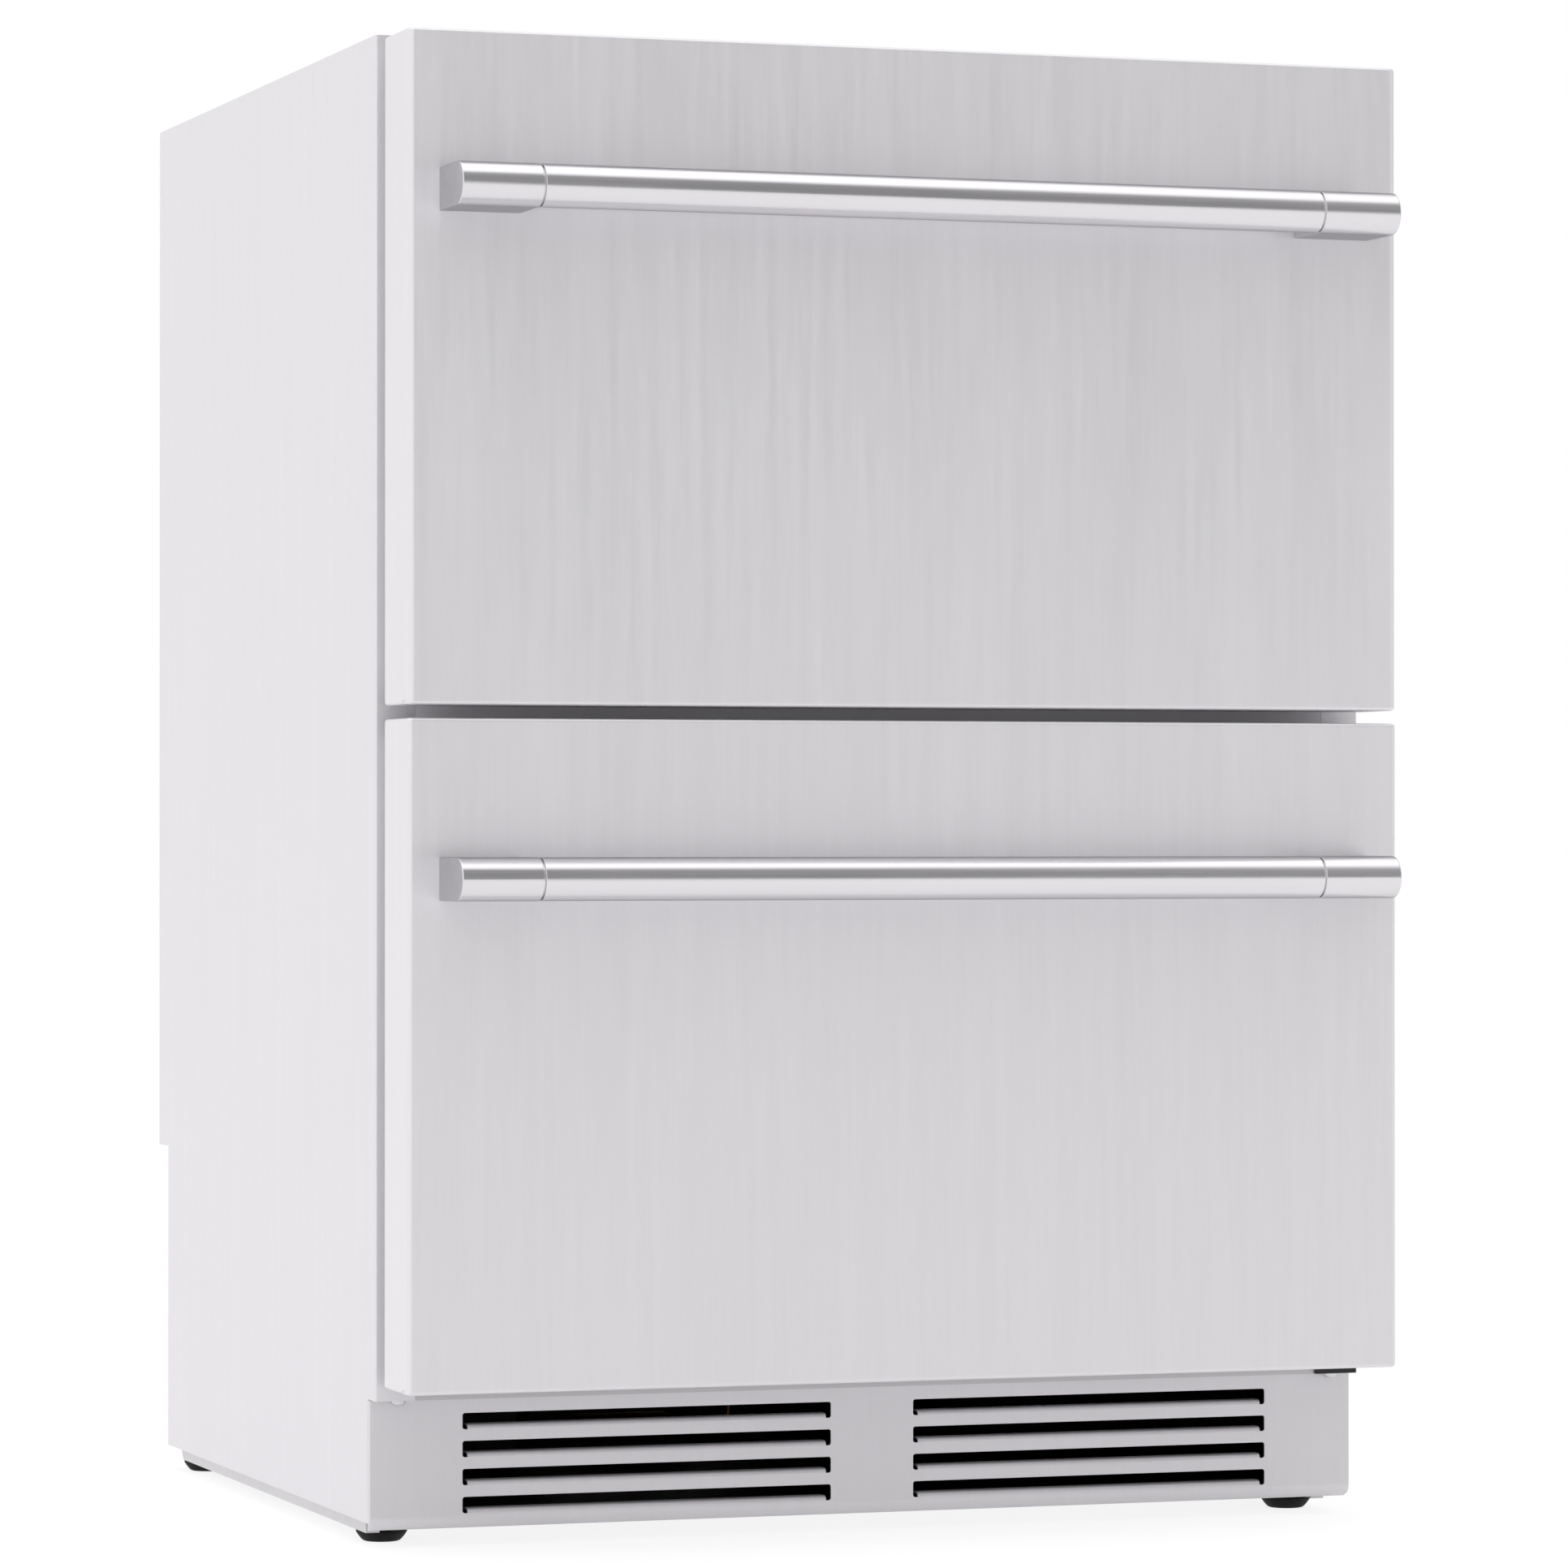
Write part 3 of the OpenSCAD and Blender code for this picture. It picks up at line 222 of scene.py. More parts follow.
def wall(piece, thickness):
    """Gives a shell its thickness, inwards from its face."""
    return modify(piece, "SOLIDIFY", thickness=thickness, offset=-1, use_even_offset=True)


def cut(piece, *cutters):
    """Takes the cutters' shapes out of a piece."""
    for cutter in cutters:
        modify(piece, "BOOLEAN", operation="DIFFERENCE", object=cutter, solver="EXACT")
        bpy.data.objects.remove(cutter)
    return piece


def weld(piece, other):
    """Makes one solid of two that overlap."""
    modify(piece, "BOOLEAN", operation="UNION", object=other, solver="EXACT")
    bpy.data.objects.remove(other)
    return piece


def join(name, *pieces):
    focus(pieces[0])
    for piece in pieces[1:]:
        piece.select_set(True)
    if len(pieces) > 1:
        bpy.ops.object.join()
    pieces[0].name = name
    pieces[0].data.name = name
    return pieces[0]


def recalculate(piece):
    """Merges doubles and turns the faces of a closed shape outwards."""
    pick(piece, "FACE")
    bpy.ops.mesh.remove_doubles(threshold=TOLERANCE / 2)
    bpy.ops.mesh.select_all(action="SELECT")
    bpy.ops.mesh.normals_make_consistent(inside=False)
    leave()
    return piece


def face_out(piece, place, direction):
    """Turns an open shell so that its face nearest to a place looks in a direction."""
    recalculate(piece)
    nearest = min(piece.data.polygons, key=lambda face: (face.center - Vector(place)).length)
    if nearest.normal.dot(Vector(direction)) < 0:
        pick(piece, "FACE")
        bpy.ops.mesh.flip_normals()
        leave()
    return piece


def twin(piece, name, matrix):
    """A copy with its own mesh, moved, turned or mirrored."""
    copy = piece.copy()
    copy.data = piece.data.copy()
    bpy.context.scene.collection.objects.link(copy)
    copy.name = name
    copy.data.name = name
    copy.data.transform(matrix)
    if matrix.determinant() < 0:
        recalculate(copy)
    return copy


def shifted(x=0.0, y=0.0, z=0.0):
    return Matrix.Translation((x, y, z))


MIRRORED = Matrix.Scale(-1, 4, (1, 0, 0))
TO_BACK = Matrix.Rotation(-pi / 2, 4, "X")
TO_FLOOR = Matrix.Rotation(pi, 4, "X")


def turned(name, start, profile, axis="z", sides=48):
    """A turned solid: a disc drawn out along an axis, with a radius at each distance."""
    direction = axis_of(axis)
    (at, radius), *rest = profile
    deselect()
    bpy.ops.mesh.primitive_circle_add(
        vertices=sides, radius=radius, fill_type="NGON",
        location=Vector(start) + direction * at, rotation=TURNS[axis]
    )
    piece = settle(name)
    pick(piece, "FACE")
    for distance, new_radius in rest:
        extrude(direction * (distance - at))
        factor = new_radius / radius
        stretch(factor, factor, factor, Vector(start) + direction * distance)
        at, radius = distance, new_radius
    leave()
    return recalculate(piece)


def folded(name, corner, run, steps, thickness, radius=0.0, segments=4):
    """A strip of sheet metal: its first side as a plane, then each side drawn out from the last."""
    corner, run, first = Vector(corner), Vector(run), Vector(steps[0])
    strip_axes = (run.normalized(), first.normalized(), run.cross(first).normalized())
    deselect()
    bpy.ops.mesh.primitive_plane_add(
        size=1, location=corner + run / 2 + first / 2, rotation=Matrix(strip_axes).transposed().to_euler()
    )
    bpy.context.active_object.scale = (run.length, first.length, 1)
    sheet = settle(name)

    def at_end(vert):
        return near((vert.co - corner - first).dot(first.normalized()), 0)

    pick(sheet, "EDGE", lambda edge: all(at_end(vert) for vert in edge.verts))
    for step in steps[1:]:
        extrude(step)
    leave()
    if radius:
        modify(sheet, "BEVEL", width=radius, segments=segments, limit_method="ANGLE",
               angle_limit=radians(30))
    return wall(sheet, thickness)


def from_cad(name, width=0.0, segments=2):
    """A copy of a CAD node with its flat faces merged and its edges eased."""
    piece = bpy.data.objects.new(name + "_finish", frame["nodes"][name].data.copy())
    bpy.context.scene.collection.objects.link(piece)
    pick(piece, "FACE")
    bpy.ops.mesh.remove_doubles(threshold=TOLERANCE / 2)
    bpy.ops.mesh.select_all(action="SELECT")
    bpy.ops.mesh.dissolve_limited(angle_limit=radians(0.2))
    leave()
    if width:
        ease_edges(piece, width, segments)
    return piece


# ---------------------------------------------------------------- materials


def group(name, inputs, outputs):
    """A shader node group with named inputs and outputs."""
    tree = bpy.data.node_groups.new(name, "ShaderNodeTree")
    for label, kind, value in inputs:
        socket = tree.interface.new_socket(name=label, in_out="INPUT", socket_type=kind)
        socket.default_value = value
    for label in outputs:
        tree.interface.new_socket(name=label, in_out="OUTPUT", socket_type="NodeSocketFloat")
    return tree, tree.nodes.new("NodeGroupInput").outputs, tree.nodes.new("NodeGroupOutput").inputs


def node(tree, kind, links=(), values=(), **settings):
    """A shader node with its properties, its linked inputs and its set inputs."""
    new = tree.nodes.new("ShaderNode" + kind)
    for name, value in settings.items():
        setattr(new, name, value)
    for key, value in values:
        new.inputs[key].default_value = value
    for key, source in links:
        tree.links.new(source, new.inputs[key])
    return new


def maths(tree, operation, a, b=0.0):
    """One sum on sockets or numbers."""
    new = tree.nodes.new("ShaderNodeMath")
    new.operation = operation
    for socket, value in zip(new.inputs, (a, b)):
        if isinstance(value, (int, float)):
            socket.default_value = value
        else:
            tree.links.new(value, socket)
    return new.outputs[0]


def noise(tree, place, **values):
    """A noise over a place, with its settings by name."""
    return node(tree, "TexNoise", [(0, place)], values.items()).outputs[0]


def centred(tree, value, amount=1.0):
    """A noise made to swing about nought by an amount."""
    return maths(tree, "MULTIPLY", maths(tree, "SUBTRACT", value, 0.5), amount)


STREAKS = 1.1
LINES_IN_GLOSS = 0.12
WIPES_IN_GLOSS = 0.08
MOULDED_IN_GLOSS = 0.1


def brushed_group():
    """Hairlines and broader streaks along one axis, faint clouds, wiped patches, and the bump's height."""
    tree, inp, out = group(
        "brushed_grain",
        [("Stretch", "NodeSocketVector", (900, 900, 14)), ("Contrast", "NodeSocketFloat", 0.04),
         ("Clouds", "NodeSocketFloat", 0.02), ("Roughness", "NodeSocketFloat", 0.4)],
        ["Shade", "Roughness", "Height"],
    )
    place = node(tree, "TexCoord").outputs["Object"]
    stretched = node(tree, "VectorMath", [(0, place), (1, inp["Stretch"])], operation="MULTIPLY").outputs[0]
    lines = noise(tree, stretched, Scale=1, Detail=3)
    streaks = noise(tree, stretched, Scale=0.17, Detail=2)
    clouds = noise(tree, place, Scale=6, Detail=2)
    wiped = noise(tree, place, Scale=2.2, Detail=4, Distortion=1.2)
    line = maths(tree, "ADD", centred(tree, lines), centred(tree, streaks, STREAKS))
    shade = maths(tree, "ADD", maths(tree, "MULTIPLY", line, inp["Contrast"]),
                  maths(tree, "MULTIPLY", centred(tree, clouds), inp["Clouds"]))
    tree.links.new(maths(tree, "ADD", shade, 1.0), out["Shade"])
    rough = maths(tree, "ADD", inp["Roughness"], maths(tree, "MULTIPLY", line, LINES_IN_GLOSS))
    tree.links.new(maths(tree, "ADD", rough, centred(tree, wiped, WIPES_IN_GLOSS)), out["Roughness"])
    tree.links.new(lines, out["Height"])
    return tree


def moulded_group():
    """The fine texture and faint unevenness of moulded or painted surfaces."""
    tree, inp, out = group(
        "moulded_skin",
        [("Scale", "NodeSocketFloat", 900), ("Contrast", "NodeSocketFloat", 0.03),
         ("Roughness", "NodeSocketFloat", 0.4)],
        ["Shade", "Roughness", "Height"],
    )
    place = node(tree, "TexCoord").outputs["Object"]
    fine = node(tree, "TexNoise", [(0, place), ("Scale", inp["Scale"])], [("Detail", 2)]).outputs[0]
    broad = noise(tree, place, Scale=9)
    mix = maths(tree, "SUBTRACT", maths(tree, "ADD", fine, broad), 1.0)
    tree.links.new(maths(tree, "ADD", maths(tree, "MULTIPLY", mix, inp["Contrast"]), 1.0), out["Shade"])
    rough = maths(tree, "ADD", inp["Roughness"], maths(tree, "MULTIPLY", mix, MOULDED_IN_GLOSS))
    tree.links.new(rough, out["Roughness"])
    tree.links.new(fine, out["Height"])
    return tree


# the sheets that stand between these corners are inside the machine compartment, where their colour is
# darkened to near black as painted shade
COMPARTMENT_LOW = (-297.5 * MM, -192 * MM, 15 * MM)
COMPARTMENT_HIGH = (297.5 * MM, 290.5 * MM, 243 * MM)
# how much of their colour the compartment's sheets keep under the painted shade
PAINTED_SHADE_LEVEL = 0.04


def compartment_shade_group():
    """Painted shade: the sheets inside the machine compartment are darkened to near black, as the slots
    show only shade there; a shade of one outside it.
    """
    tree, _, out = group("compartment_painted_shade", [], ["Shade"])
    place = node(tree, "SeparateXYZ", [(0, node(tree, "TexCoord").outputs["Object"])]).outputs
    inside = 1.0
    for axis, low, high in zip(place, COMPARTMENT_LOW, COMPARTMENT_HIGH):
        inside = maths(tree, "MULTIPLY", maths(tree, "GREATER_THAN", axis, low), inside)
        inside = maths(tree, "MULTIPLY", maths(tree, "LESS_THAN", axis, high), inside)
    shade = maths(tree, "SUBTRACT", 1.0, maths(tree, "MULTIPLY", inside, 1.0 - PAINTED_SHADE_LEVEL))
    tree.links.new(shade, out["Shade"])
    return tree


BRUSHED = brushed_group()
MOULDED = moulded_group()
PAINTED_SHADE_GROUP = compartment_shade_group()
# the materials that get the painted shade inside the machine compartment
SHADE_PAINTED_MATERIALS = ("steel_side", "zinc")
CLOUDS = 0.02
BRUSHED_RELIEF = 0.02 * MM
MOULDED_RELIEF = 0.03 * MM


def finish_material(name, skin, colour, values, bump, bump_depth, **sockets):
    """A material whose colour, roughness and bump follow one of the groups."""
    material = bpy.data.materials.new(name)
    material.use_nodes = True
    tree = material.node_tree
    shader = tree.nodes["Principled BSDF"]
    texture = node(tree, "Group", node_tree=skin)
    for label, value in values.items():
        texture.inputs[label].default_value = value
    shade = texture.outputs["Shade"]
    # painted shade: these materials turn near black inside the machine compartment
    if name in SHADE_PAINTED_MATERIALS:
        shade = maths(tree, "MULTIPLY", shade, node(tree, "Group", node_tree=PAINTED_SHADE_GROUP).outputs["Shade"])
    tint = node(tree, "VectorMath", [(1, shade)], [(0, colour)], operation="MULTIPLY")
    tree.links.new(tint.outputs[0], shader.inputs["Base Color"])
    tree.links.new(texture.outputs["Roughness"], shader.inputs["Roughness"])
    if bump:
        relief = node(tree, "Bump", [("Height", texture.outputs["Height"])],
                      [("Strength", bump), ("Distance", bump_depth)])
        tree.links.new(relief.outputs[0], shader.inputs["Normal"])
    for label, value in sockets.items():
        shader.inputs[label.replace("_", " ")].default_value = value
    return material


def grey(value, tint=(1.0, 0.98, 1.012)):
    """A near-neutral colour from an sRGB grey out of 255."""
    linear = ((value / 255 + 0.055) / 1.055) ** 2.4
    return tuple(linear * part for part in tint)


# how fine the hairlines are along x, y and z: the small number is the way they run
UPRIGHT = (900, 900, 32)
LENGTHWISE = (14, 900, 900)
INWARDS = (900, 14, 900)


def steel(name, shade, roughness, stretch=UPRIGHT, metallic=0.6, contrast=0.05, bump=0.12, **sockets):
    return finish_material(
        name, BRUSHED, grey(shade),
        {"Stretch": stretch, "Contrast": contrast, "Clouds": CLOUDS, "Roughness": roughness},
        bump, BRUSHED_RELIEF, Metallic=metallic, **sockets,
    )


def moulded(name, colour, roughness, scale=900, contrast=0.03, bump=0.1, **sockets):
    return finish_material(
        name, MOULDED, colour, {"Scale": scale, "Contrast": contrast, "Roughness": roughness},
        bump, MOULDED_RELIEF, **sockets,
    )


MATERIALS = {
    "steel_side": steel("steel_side", 235, 0.5),
    "steel_front": steel("steel_front", 237, 0.42),
    # painted shade: the frame's steel is greyer than the other steel, for the shade under and behind the
    # drawer fronts
    "steel_frame": steel("steel_frame", 206, 0.5),
    # painted light: the mullion is near white so that it reads brighter in the shaded gap between the
    # drawers
    "mullion": moulded("mullion", grey(246), 0.45),
    "handle_steel": steel("handle_steel", 229, 0.24, LENGTHWISE, metallic=1.0, contrast=0.05, bump=0.04,
                          Specular_Tint=(0.5, 0.5, 0.5, 1)),
    "kick_steel": steel("kick_steel", 228, 0.45),
    "zinc": moulded("zinc", grey(218), 0.4, scale=160, contrast=0.14, bump=0.03, Metallic=0.6),
    "zinc_screw": moulded("zinc_screw", grey(215), 0.25, scale=500, bump=0.03, Metallic=0.9),
    "white_liner": moulded("white_liner", grey(226), 0.25, scale=500, bump=0.03),
    "white_box": moulded("white_box", grey(230), 0.22, scale=500, bump=0.03),
    "foam": moulded("foam", (0.72, 0.58, 0.25), 0.9, scale=600, contrast=0.2, bump=0.5),
    "seal": moulded("seal", grey(215), 0.6, scale=700, bump=0.1),
    "black_rubber": moulded("black_rubber", grey(20), 0.7, scale=800, bump=0.2),
    "black_plastic": moulded("black_plastic", grey(18), 0.5, scale=1200, bump=0.3),
    "black_steel": moulded("black_steel", grey(14), 0.4, scale=700, bump=0.1),
    "coil_aluminium": steel("coil_aluminium", 205, 0.35, (500, 500, 30), metallic=0.9),
    "condenser_black": moulded("condenser_black", grey(10), 0.55, scale=700, bump=0.1),
    "copper": moulded("copper", (0.36, 0.15, 0.075), 0.38, scale=300, contrast=0.15, bump=0.03,
                      Metallic=0.95),
    "panel_glass": moulded("panel_glass", grey(20), 0.08, scale=300, contrast=0.05, bump=0.0),
    "light_lens": moulded("light_lens", grey(240), 0.35, scale=500, bump=0.05),
    "fan_white": moulded("fan_white", grey(215), 0.4, scale=700, bump=0.05),
    "slide_steel": steel("slide_steel", 215, 0.3, INWARDS, metallic=0.9),
    "leg_black": moulded("leg_black", grey(14), 0.6, scale=900, bump=0.25, Specular_IOR_Level=0.25),
}
SLOTS = {part["node"]: part["material_slot"] for part in frame["record"]["subparts"]}
for name, cad_node in frame["nodes"].items():
    cad_node.data.materials.clear()
    cad_node.data.materials.append(MATERIALS[SLOTS[name]])

BODIES = frame["record"]["behaviour"]["bodies"]
BODY_OF = {name: body for body, names in BODIES.items() for name in names}


def dress(piece, *nodes, smooth=35):
    """Gives a piece the finish and the body of the nodes that it stands for."""
    focus(piece)
    bpy.ops.object.shade_smooth_by_angle(angle=radians(smooth))
    modify(piece, "WEIGHTED_NORMAL", keep_sharp=True, weight=80)
    slot = SLOTS[nodes[0]]
    piece.data.materials.clear()
    piece.data.materials.append(MATERIALS[slot])
    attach(piece, BODY_OF[nodes[0]])
    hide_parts(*nodes)
    return piece


# ---------------------------------------------------------------- drawer fronts

SKIN = 0.8 * MM
SIDE_FOLD = {"upper": 4.0 * MM, "lower": 3.0 * MM}
EDGE_FOLD = 2.0 * MM
NOTCH_D = 10 * MM
NOTCH_H = 2.4 * MM
NOTCH_SINK = 0.6 * MM
NOTCH_ROUND = 1.0 * MM
NOTCH_START = 1.4 * MM  # behind the front face
CORE_FOLD = 3.4 * MM
CORE_CORNER = Vector((14, 22, 12)) * MM
LINING_RIM = 4 * MM
LINING_SLOPE = 1.2 * MM
LINING_STEP = 1 * MM
LINING_EASE = 0.5 * MM


def front_skin(drawer):
    """The folded steel skin, with relief notches where its folds meet at the bottom corners."""
    low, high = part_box(drawer + "_front_skin")
    skin = block(drawer + "_skin", low, high)
    delete_faces(skin, facing("y", 1))
    bevel_picked(skin, "EDGE", edges_along("z", x_abs=high.x, y=low.y), SIDE_FOLD[drawer], 8)
    bottom, top = level_edges(low.z), level_edges(high.z)
    bevel_picked(skin, "EDGE", lambda edge: (bottom(edge) or top(edge))
                 and middle(edge).y < high.y - TOLERANCE, EDGE_FOLD, 4)
    wall(skin, SKIN)
    notch_y = low.y + NOTCH_START
    notch = block("notch", (high.x - NOTCH_SINK, notch_y, low.z - OVERRUN),
                  (high.x + OVERRUN, notch_y + NOTCH_D, low.z + NOTCH_H))
    bevel_picked(notch, "EDGE", edges_along("x", z=low.z + NOTCH_H), NOTCH_ROUND, 3)
    cut(skin, twin(notch, "notch", MIRRORED), notch)
    return dress(skin, drawer + "_front_skin")


def front_core(drawer):
    """The foam, which doesn't reach into the skin's bottom corners."""
    low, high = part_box(drawer + "_front_foam")
    core = block(drawer + "_core", low, high)
    bevel_picked(core, "EDGE", edges_along("z", x_abs=high.x, y=low.y), CORE_FOLD, 4)
    corner = block("corner", (high.x - CORE_CORNER.x, low.y - OVERRUN, low.z - OVERRUN),
                   (high.x + OVERRUN, low.y + CORE_CORNER.y, low.z + CORE_CORNER.z))
    cut(core, twin(corner, "corner", MIRRORED), corner)
    return dress(core, drawer + "_front_foam")


def inner_panel(drawer):
    """The moulded inner panel, drawn down round its rim where the skin holds it."""
    low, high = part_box(drawer + "_inner_panel")
    panel = block(drawer + "_lining", low, high - Vector((0, LINING_STEP, 0)))
    pick(panel, "FACE", facing("y", 1))
    inset(LINING_RIM)
    inset(LINING_SLOPE, LINING_STEP)
    leave()
    ease_edges(panel, LINING_EASE, 3)
    return dress(panel, drawer + "_inner_panel")


SEAL_W = 16 * MM
SEAL_SHAPE = (  # share of the depth, and how far both sides draw in there
    (0.10, 0.0), (0.26, 0.3), (0.30, 2.6), (0.38, 3.2), (0.44, 1.6), (0.50, 1.4), (0.56, 3.0),
    (0.62, 2.6), (0.66, 0.5), (0.72, 0.0), (0.95, 0.0), (1.0, 0.8),
)


def seal(drawer):
    """The magnetic seal: its foot, two folds of bellows and the flat that holds the magnet."""
    low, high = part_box(drawer + "_seal")
    centre, half = (low + high) / 2, (high - low) / 2
    deselect()
    bpy.ops.mesh.primitive_plane_add(size=1, location=(centre.x, low.y, centre.z), rotation=TURNS["y"])
    bpy.context.active_object.scale = (2 * half.x, 2 * half.z, 1)
    ring = settle(drawer + "_gasket")
    pick(ring, "FACE")
    inset(SEAL_W)
    bpy.ops.mesh.delete(type="FACE")
    bpy.ops.mesh.select_all(action="SELECT")
    at, drawn = low.y, 0.0
    for share, draw in SEAL_SHAPE:
        y, draw = low.y + share * 2 * half.y, draw * MM
        extrude((0, y - at, 0))
        for outer in (True, False):
            choose(ring, "VERT", lambda vert: near(vert.co.y, y)
                   and (half.x - abs(vert.co.x - centre.x) < SEAL_W / 2) == outer)
            was, now = (drawn, draw) if outer else (SEAL_W - drawn, SEAL_W - draw)
            stretch((half.x - now) / (half.x - was), 1, (half.z - now) / (half.z - was),
                    (centre.x, y, centre.z))
        choose(ring, "FACE", lambda face: all(near(vert.co.y, y) for vert in face.verts))
        at, drawn = y, draw
    leave()
    return dress(recalculate(ring), drawer + "_seal", smooth=50)


for drawer in DRAWERS:
    front_skin(drawer)
    front_core(drawer)
    inner_panel(drawer)
    seal(drawer)


# ---------------------------------------------------------------- handles

BAR_WALL = 2 * MM
BAR_EASE = 0.35 * MM
BRACKET_EASE = 0.7 * MM
SPIGOT_L = 18 * MM
SPIGOT_PLAY = 0.05 * MM
SPIGOT_LEAD = 0.5 * MM
SEAM = 1.1 * MM
SEAM_DEPTH = 1.3 * MM


def handle_bar(drawer):
    """The tube between the brackets, with eased ends."""
    low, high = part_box(drawer + "_handle_bar")
    centre, radius = (low + high) / 2, (high.z - low.z) / 2
    bar = rod(drawer + "_bar", (low.x, centre.y, centre.z), radius, high.x - low.x, "x", 96)
    pick(bar, "FACE", lambda face: abs(face.normal.x) > 0.95)
    inset(BAR_WALL)
    bpy.ops.mesh.delete(type="FACE")
    choose(bar, "EDGE", lambda edge: edge.is_boundary)
    bpy.ops.mesh.bridge_edge_loops()
    leave()
    bevel_picked(bar, "EDGE", lambda edge: near(abs(middle(edge).x), high.x) and across_x(edge)
                 and (edge.verts[0].co.yz - centre.yz).length > radius - BAR_WALL / 2, BAR_EASE, 3)
    return dress(bar, drawer + "_handle_bar")


def handle_brackets(drawer):
    """D-shaped end blocks with a spigot that goes into the bar."""
    low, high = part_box(drawer + "_handle_brackets")
    radius = (high.z - low.z) / 2
    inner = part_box(drawer + "_handle_bar")[1].x + SEAM
    body = block(drawer + "_bracket", (inner, low.y, low.z), high)
    bevel_picked(body, "EDGE", edges_along("x", y=low.y), radius - TOLERANCE, 24)
    for x, width in ((high.x, BRACKET_EASE), (inner, BAR_EASE)):
        bevel_picked(body, "EDGE", lambda edge: across_x(edge) and near(middle(edge).x, x)
                     and not near(middle(edge).y, high.y), width, 3)
    snug = radius - BAR_WALL - SPIGOT_PLAY
    spigot_shape = [(0, snug - SPIGOT_LEAD), (SPIGOT_LEAD, snug), (SPIGOT_L - SEAM, snug),
                    (SPIGOT_L - SEAM, radius - SEAM_DEPTH), (SPIGOT_L + OVERRUN, radius - SEAM_DEPTH)]
    spigot = turned("spigot", (inner - SPIGOT_L, low.y + radius, (low.z + high.z) / 2), spigot_shape, "x")
    right = join(drawer + "_bracket", body, spigot)
    left = twin(right, "left", MIRRORED)
    return dress(join(drawer + "_brackets", right, left), drawer + "_handle_brackets")


for drawer in DRAWERS:
    handle_bar(drawer)
    handle_brackets(drawer)


# ---------------------------------------------------------------- drawer boxes and liner

FRAME_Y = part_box("mullion_bar")[0].y
SHEET = 1 * MM
LIP_Y = FRAME_Y + SHEET
BOX_T = 2.5 * MM
BOX_ROUND = 9 * MM
RIM_W = 5 * MM
RIM_W_BACK = 4 * MM
RIM_T = 3 * MM
RIM_EASE = 0.6 * MM
BOX_RISER_Y = 30.95 * MM
BOX_STEP_Z = 253 * MM


def stepped_shell(name, low, high, step_y, step_z):
    """A box that is deeper in front of a step."""
    shell = block(name, (low.x, low.y, step_z), high)
    if step_z > low.z + TOLERANCE:
        split(shell, "y", step_y)
        pick(shell, "FACE", lambda face: face.normal.z < -0.95 and middle(face).y < step_y)
        extrude((0, 0, low.z - step_z))
        leave()
        recalculate(shell)
    return shell


def drawer_box(drawer):
    """The moulded tub: its inner face, the rolled rim round three sides, then its wall."""
    low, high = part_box(drawer + "_drawer_box")
    tub_low = Vector((low.x + RIM_W + BOX_T, low.y + BOX_T, low.z + BOX_T))
    tub_high = Vector((high.x - RIM_W - BOX_T, high.y - RIM_W_BACK - BOX_T, high.z))
    step_y, step_z = low.y, tub_low.z
    if drawer == "lower":
        step_y, step_z = BOX_RISER_Y - BOX_T, BOX_STEP_Z + BOX_T
    tub = stepped_shell(drawer + "_tub", tub_low, tub_high, step_y, step_z)
    delete_faces(tub, lambda face: face.normal.z > 0.95 and near(middle(face).z, high.z))
    ease_edges(tub, BOX_ROUND, 5, 60)
    split(tub, "y", LIP_Y)
    pick(tub, "EDGE", lambda edge: edge.is_boundary and middle(edge).y > LIP_Y)
    extrude()
    stretch(high.x / tub_high.x, (high.y - LIP_Y) / (tub_high.y - LIP_Y), 1, (0, LIP_Y, high.z))
    extrude((0, 0, -RIM_T))
    leave()
    face_out(tub, (0, 0, step_z), (0, 0, 1))
    wall(tub, BOX_T)
    ease_edges(tub, RIM_EASE, 3, 50)
    return dress(tub, drawer + "_drawer_box")


CAVE_X = 262 * MM
CAVE_FLOOR = 119 * MM
CAVE_CEILING = 806 * MM
CAVE_BACK = 270.95 * MM
RISER_Y = 38.95 * MM
STEP_Z = 245 * MM
LINER_T = 2 * MM
LINER_ROUND = 8 * MM


def liner():
    """The white inner box, with rounded corners and the lip behind the frame."""
    low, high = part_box("liner")
    shell = stepped_shell("cabinet_liner", Vector((-CAVE_X, low.y, CAVE_FLOOR)),
                          Vector((CAVE_X, CAVE_BACK, CAVE_CEILING)), RISER_Y, STEP_Z)
    delete_faces(shell, lambda face: face.normal.y < -0.95 and near(middle(face).y, low.y))
    ease_edges(shell, LINER_ROUND, 4, 60)
    # the lip grows out of the opening's edge, about the height from which both its ends come out right
    growth = (high.z - low.z) / (CAVE_CEILING - CAVE_FLOOR)
    fixed_z = (CAVE_FLOOR * growth - low.z) / (growth - 1)
    pick(shell, "EDGE", lambda edge: edge.is_boundary)
    extrude()
    stretch(high.x / CAVE_X, 1, growth, (0, low.y, fixed_z))
    leave()
    face_out(shell, (0, CAVE_BACK, 0.5), (0, -1, 0))
    wall(shell, LINER_T)
    return dress(shell, "liner")


for drawer in DRAWERS:
    drawer_box(drawer)
liner()


# ---------------------------------------------------------------- kick plate

